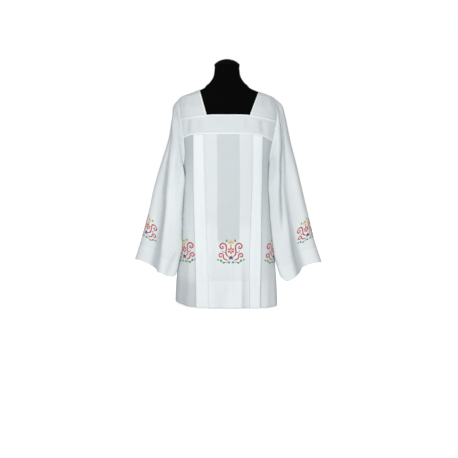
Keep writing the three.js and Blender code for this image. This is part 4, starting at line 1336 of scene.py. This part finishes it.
nodes = {f"skirt_{face}": skirt(face) for face in FACES}
nodes |= {f"yoke_{face}_band": band(face) for face in FACES}
nodes |= {f"shoulder_{side}": strap(side) for side in SIDES}
nodes |= {f"sleeve_{side}": sleeve(side) for side in SIDES}
pole = [(POLE_RADIUS, HUB_TOP + SEAM_GAP), (POLE_RADIUS, TORSO_BOTTOM - SEAM_GAP)]
form = [
    (dress_form(), "form_torso", "form_cover"),
    (ring_form("neck_cap", [(*row, 2.0) for row in NECK_CAP], 72, BLACK_CAP), "form_neck_cap", "form_cap"),
    (stand_base(), "form_base", "stand_metal"),
    (round_solid("stand_pole", pole, 48), "form_pole", "stand_metal"),
]

ornaments = {"skirt_front": embroider("skirt", [skirt_patch(*place) for place in SKIRT_ORNAMENTS])}
ornaments |= {f"sleeve_{side}": embroider(f"sleeve_{side}", [sleeve_patch(side)]) for side in SIDES}

for name, piece in nodes.items():
    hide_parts(name)
    piece["sewn"] = stitch_mesh(f"stitches_{name}", piece["stitches"])
for made, name, finish in form:
    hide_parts(name)


# Floor, light and camera

LIGHT_AIM = (0, 0, 0.5)
FLOOR_RADIUS, FLOOR_SIDES = 40, 96
WORLD_LIGHT, WORLD_SEEN = 0.38, 1.0


def area_light(name, place, size, power):
    light = bpy.data.lights.new(name, "AREA")
    light.shape = "DISK"
    light.size = size
    light.energy = power
    made = placed(name, light)
    made.location = place
    made.rotation_euler = Vector(np.subtract(LIGHT_AIM, place)).to_track_quat("-Z", "Y").to_euler()


def pale_floor():
    around = np.linspace(0, 2 * math.pi, FLOOR_SIDES + 1)[:-1]
    mesh = bpy.data.meshes.new("floor")
    mesh.from_pydata([(FLOOR_RADIUS * math.cos(a), FLOOR_RADIUS * math.sin(a), 0) for a in around], [],
                     [tuple(range(FLOOR_SIDES))])
    look = Finish("pale_floor", Base_Color=(0.8, 0.8, 0.8, 1), Roughness=0.9, Specular_IOR_Level=0.0,
                  Emission_Color=(1, 1, 1, 1), Emission_Strength=0.72)
    mesh.materials.append(look.material)
    floor = placed("floor", mesh)
    floor.visible_diffuse = False


def studio():
    scene = bpy.context.scene
    scene.world = bpy.data.worlds.new("studio")
    scene.world.use_nodes = True
    tree = scene.world.node_tree
    seen = add_node(tree, "ShaderNodeLightPath", {}, "Is Camera Ray")
    strength = add_node(tree, "ShaderNodeMapRange", {0: seen, 3: WORLD_LIGHT, 4: WORLD_SEEN})
    tree.links.new(strength, tree.nodes["Background"].inputs["Strength"])
    tree.nodes["Background"].inputs["Color"].default_value = (1, 1, 1, 1)

    area_light("key", (-0.4, -2.8, 0.88), 1.0, 43.6)
    area_light("fill", (1.6, -2.4, 1.0), 1.6, 5)
    area_light("back", (0.6, 2.6, 2.0), 1.6, 30)
    scene.view_settings.view_transform = "Standard"

    scene.camera = placed("camera", bpy.data.cameras.new("camera"))
    scene.camera.location = CAMERA_PLACE
    scene.camera.rotation_euler = (math.pi / 2, 0, 0)
    scene.camera.data.lens = CAMERA_LENS
    scene.camera.data.sensor_width = SENSOR_WIDTH
    scene.camera.data.shift_y = CAMERA_SHIFT


pale_floor()
studio()
